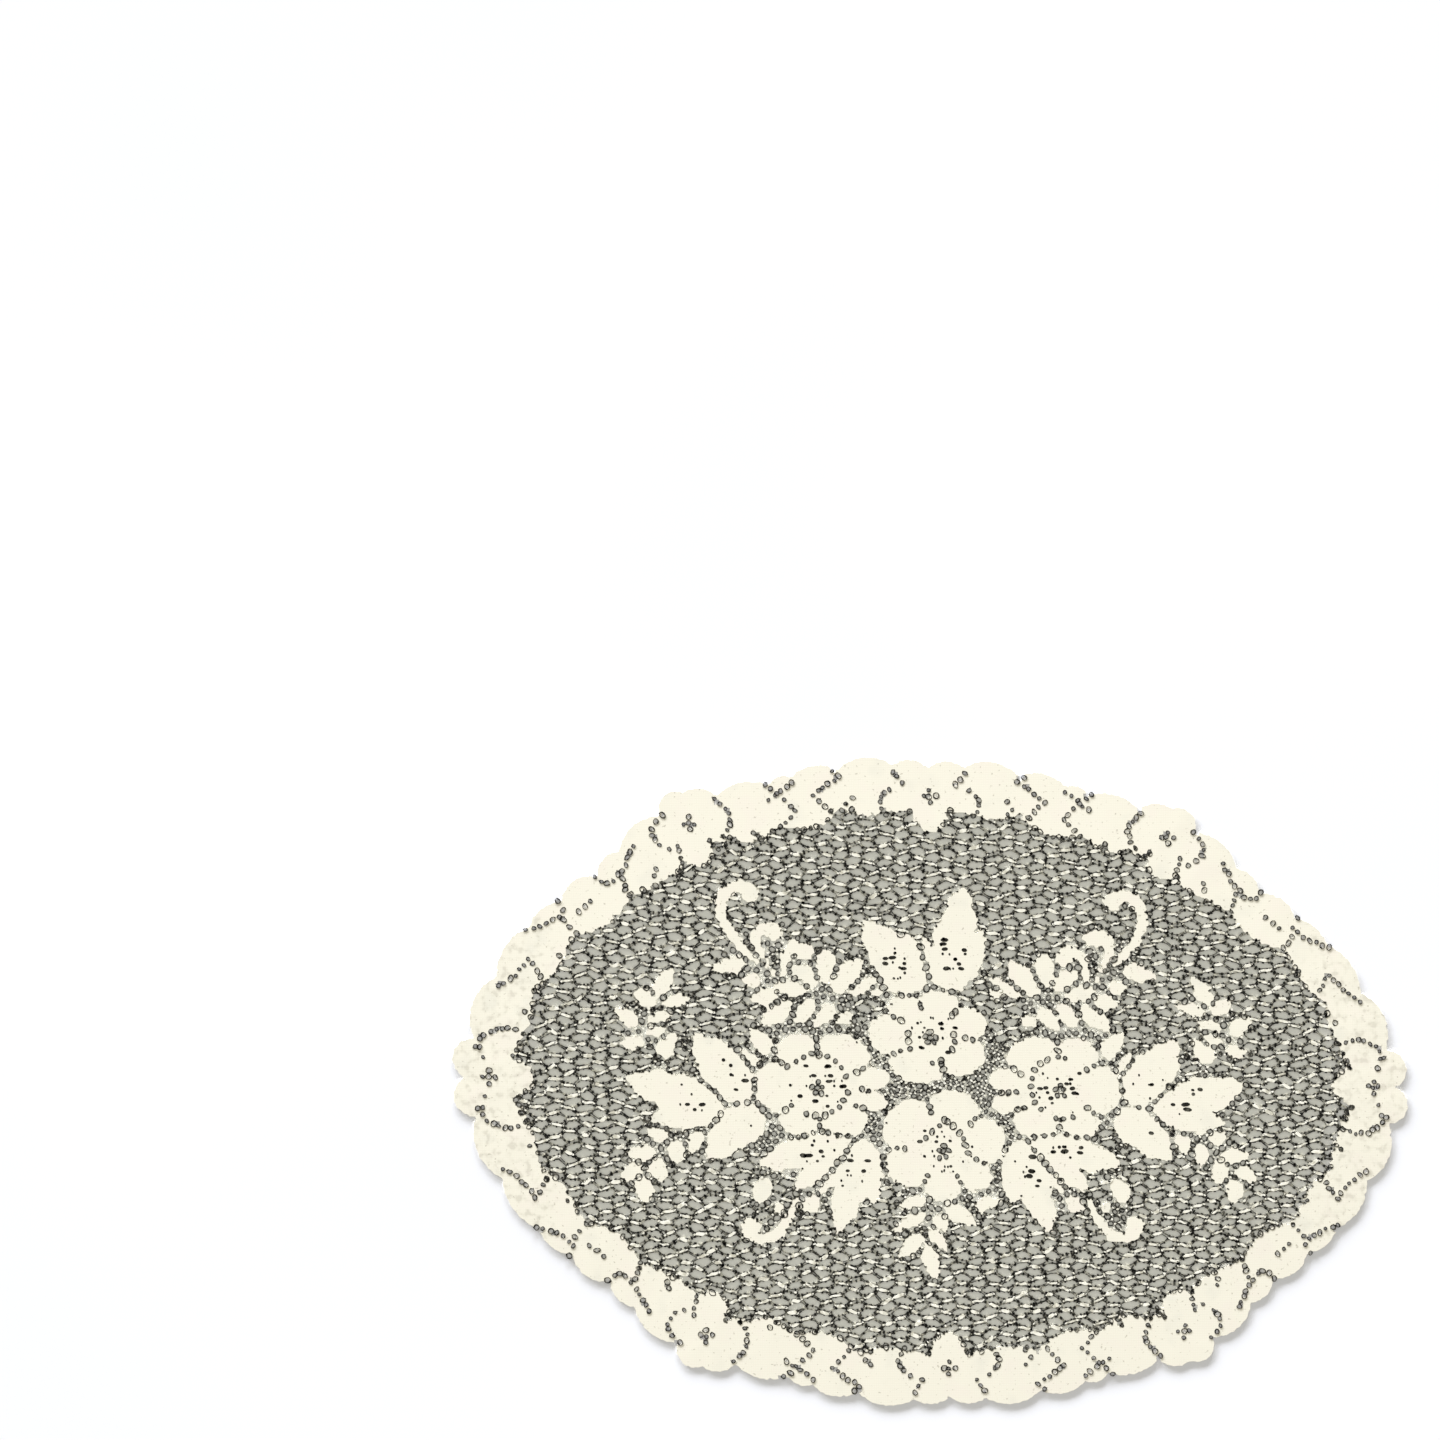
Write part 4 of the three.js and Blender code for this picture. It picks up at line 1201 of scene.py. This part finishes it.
# place along the noise, the knit or the mat, and the colour there
BLOTCHES = [(0.34, BLUSH), (0.48, CREAM), (0.58, CREAM), (0.72, PALE_GREY)]
# darker in the knit's hollows: painted shade
KNIT_PAINTED_SHADE = [(0.0, (0.965, 0.962, 0.955)), (0.5, WHITE)]
SPECKS = [(0.0, WHITE), (0.68, WHITE), (0.77, (0.7, 0.69, 0.67))]
MAT_ENDS = [(0.13, BLACK), (0.2, WHITE)]
MOTTLES = [(0.47, WHITE), (0.57, (0.955, 0.955, 0.95)), (0.67, (0.83, 0.825, 0.815))]
BLOTCH_LUMPS, SPECK_LUMPS, MOTTLE_LUMPS = 62, 640, 230
CLOTH_ROUGH, CLOTH_SHEEN, WALE_PITCH, RIB_PITCH = 0.86, 0.08, 0.0009, 0.0012
RELIEF, KNIT_RELIEF, FIBRE_RELIEF = 0.05, 0.00006, 0.00005


def cloth_finish():
    """Cream knit: blotches times painted shade in the knit's hollows, times specks, times grey mottles at the
    mat's ends.
    """
    finish, tree, shader, place = new_finish("cream_knit", CLOTH_ROUGH)
    shader.inputs["Sheen Weight"].default_value = CLOTH_SHEEN
    knit = multiplied(tree, ribs(tree, place, "X", WALE_PITCH), ribs(tree, place, "Y", RIB_PITCH))
    from_middle = tree.nodes.new("ShaderNodeSeparateXYZ")
    tree.links.new(place, from_middle.inputs["Vector"])
    at_ends = ramp(tree, computed(tree, "ABSOLUTE", from_middle.outputs["X"]), MAT_ENDS)
    # grey mottles towards the mat's ends
    end_mottling = computed(tree, "MULTIPLY", at_ends, noise(tree, place, MOTTLE_LUMPS, 2))
    colour = ramp(tree, noise(tree, place, BLOTCH_LUMPS, 2), BLOTCHES)
    # painted shade in the knit's hollows
    colour = multiplied(tree, colour, ramp(tree, knit, KNIT_PAINTED_SHADE))
    colour = multiplied(tree, colour, ramp(tree, noise(tree, place, SPECK_LUMPS, 1), SPECKS))
    colour = multiplied(tree, colour, ramp(tree, end_mottling, MOTTLES))
    tree.links.new(colour, shader.inputs["Base Color"])
    bumped(tree, shader, knit, RELIEF, KNIT_RELIEF)
    return finish


lace_cloth.data.materials.append(cloth_finish())
print("finish of the cloth:", lace_cloth.data.materials[0].name)

# %% [markdown]
# ## Threads, painted dark, and ivory
# The threads of the net and the rings, the knots and the pinholes look nearly black beside the cloth because
# they are thin and shadowed, though the real thread is cream, so their near-black colours are painted shade.
# The floating yarn is ivory. One flat colour for each would look like plastic. Noise along the thread takes
# it from a dark colour through its middle one to a light one.

# %% Finishes of the threads
THREAD_ROUGH, THREAD_MIDDLE, FIBRES = 0.92, 0.52, 4
# piece, name, dark, middle and light colour, lumps a metre, and the spread of the noise between the colours
# the near-black rows are painted shade; the ivory row is the yarn's own colour
THREAD_FINISHES = [
    (eyelet_rings, "ring_thread",
     (0.008, 0.007, 0.005), (0.025, 0.023, 0.017), (0.11, 0.1, 0.08), 420, 0.14),
    (net_loops, "net_thread",
     (0.012, 0.011, 0.008), (0.09, 0.085, 0.066), (0.42, 0.4, 0.32), 800, 0.08),
    (net_knots, "knot_thread",
     (0.004, 0.0035, 0.0025), (0.012, 0.011, 0.008), (0.1, 0.095, 0.075), 800, 0.12),
    (net_flecks, "ivory_yarn",
     (0.6, 0.57, 0.47), (0.88, 0.85, 0.74), (0.94, 0.91, 0.82), 420, 0.14),
    (painted_pinholes, "stitch_thread",
     (0.008, 0.007, 0.005), (0.02, 0.018, 0.014), (0.1, 0.095, 0.075), 350, 0.14),
]


def thread_finish(name, dark, middle, light, lumps, spread):
    """Uneven thread: noise along it runs from dark through its middle colour to light, with a fine relief."""
    finish, tree, shader, place = new_finish(name, THREAD_ROUGH)
    stops = [(THREAD_MIDDLE - spread, dark), (THREAD_MIDDLE, middle), (THREAD_MIDDLE + spread, light)]
    tree.links.new(ramp(tree, noise(tree, place, lumps, 3), stops), shader.inputs["Base Color"])
    bumped(tree, shader, noise(tree, place, lumps * FIBRES, 2), RELIEF, FIBRE_RELIEF)
    return finish


for piece, *numbers in THREAD_FINISHES:
    piece.data.materials.append(thread_finish(*numbers))
print("finishes of the threads:", [name for _, name, *_ in THREAD_FINISHES])

# %% [markdown]
# ## The table
# The mat lies on a plain pale table. Light that comes back from the yarn would warm the table under the
# mat, but the dark threads of the net let little of that through here, so it is painted light: an oval
# gradient, scaled to the mat, paints the table warmer under the mat and a little bluer round it, so that the
# mat's shadow reads neutral grey.

# %% Table top
FLOOR_HALF, FLOOR_DROP, FLOOR_ROUGH, FLOOR_LUMPS = 4.0, 0.00005, 0.9, 3
FLOOR_TINT = [(0.3, (0.975, 0.975, 0.975)), (0.7, WHITE)]
# painted light: warm under the mat, a little blue round it
FLOOR_PAINTED_LIGHT = [(0.06, (0.94, 0.94, 0.985)), (0.18, (1.0, 1.0, 0.95))]
floor_points = np.array([(-1, -1, 0), (1, -1, 0), (1, 1, 0), (-1, 1, 0)]) * FLOOR_HALF - (0, 0, FLOOR_DROP)
floor = make_mesh("table_top", floor_points, np.array([[0, 1, 2, 3]]))
floor_finish, floor_tree, floor_shader, floor_place = new_finish("pale_table", FLOOR_ROUGH)
to_oval = floor_tree.nodes.new("ShaderNodeMapping")
to_oval.inputs["Scale"].default_value = (*(2 / MAT_SIZE), 0)
floor_tree.links.new(floor_place, to_oval.inputs["Vector"])
oval = floor_tree.nodes.new("ShaderNodeTexGradient")
oval.gradient_type = "SPHERICAL"
floor_tree.links.new(to_oval.outputs["Vector"], oval.inputs["Vector"])
painted_floor_light = ramp(floor_tree, oval.outputs["Fac"], FLOOR_PAINTED_LIGHT)
tint = ramp(floor_tree, noise(floor_tree, floor_place, FLOOR_LUMPS, 1), FLOOR_TINT)
floor_tree.links.new(multiplied(floor_tree, painted_floor_light, tint), floor_shader.inputs["Base Color"])
floor.data.materials.append(floor_finish)

# %% [markdown]
# ## Light
# A broad row of soft lamps shines low from the far side, slightly from the left, so the mat's edge and its
# threads throw short soft shadows towards the viewer. One area lamp would fade across the table. Five suns,
# fanned out, give the same soft edge everywhere, and an even pale sky fills the rest.

# %% Lamps and sky
LAMP_HEIGHT, LAMP_SOFT, LAMP_POWER, LAMP_COLOUR = np.radians(5), np.radians(6), 20.0, (0.97, 1.0, 1.05)
LAMPS_AROUND = np.radians(21 + np.array([-28, -14, 0, 14, 28]))
SKY_COLOUR, SKY_STRENGTH = (1, 0.985, 0.9, 1), 0.54
for index, around in enumerate(LAMPS_AROUND):
    lamp = bpy.data.objects.new(f"lamp_{index}", bpy.data.lights.new(f"lamp_{index}", "SUN"))
    lamp.data.energy = LAMP_POWER / len(LAMPS_AROUND)
    lamp.data.color = LAMP_COLOUR
    lamp.data.angle = LAMP_SOFT
    lamp.rotation_euler = (-(np.pi / 2 - LAMP_HEIGHT), 0, around)
    bpy.context.scene.collection.objects.link(lamp)
sky = bpy.data.worlds.new("sky")
sky.use_nodes = True
sky.node_tree.nodes["Background"].inputs["Color"].default_value = SKY_COLOUR
sky.node_tree.nodes["Background"].inputs["Strength"].default_value = SKY_STRENGTH
bpy.context.scene.world = sky
bpy.context.scene.view_settings.view_transform = "Standard"
print("lamps:", len(LAMPS_AROUND), "at", round(np.degrees(LAMP_HEIGHT)), "degrees")

# %% [markdown]
# ## Attaching the cloth
# Each piece is attached to the body it moves with, and the imported solid is hidden. The cloth of border
# and bouquet and the threads on it all move with the root.

# %% Bodies
pieces = [lace_cloth] + [piece for piece, *_ in THREAD_FINISHES]
for piece in pieces:
    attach(piece, "root")
    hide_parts("lace_mat")


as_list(pieces[1:])
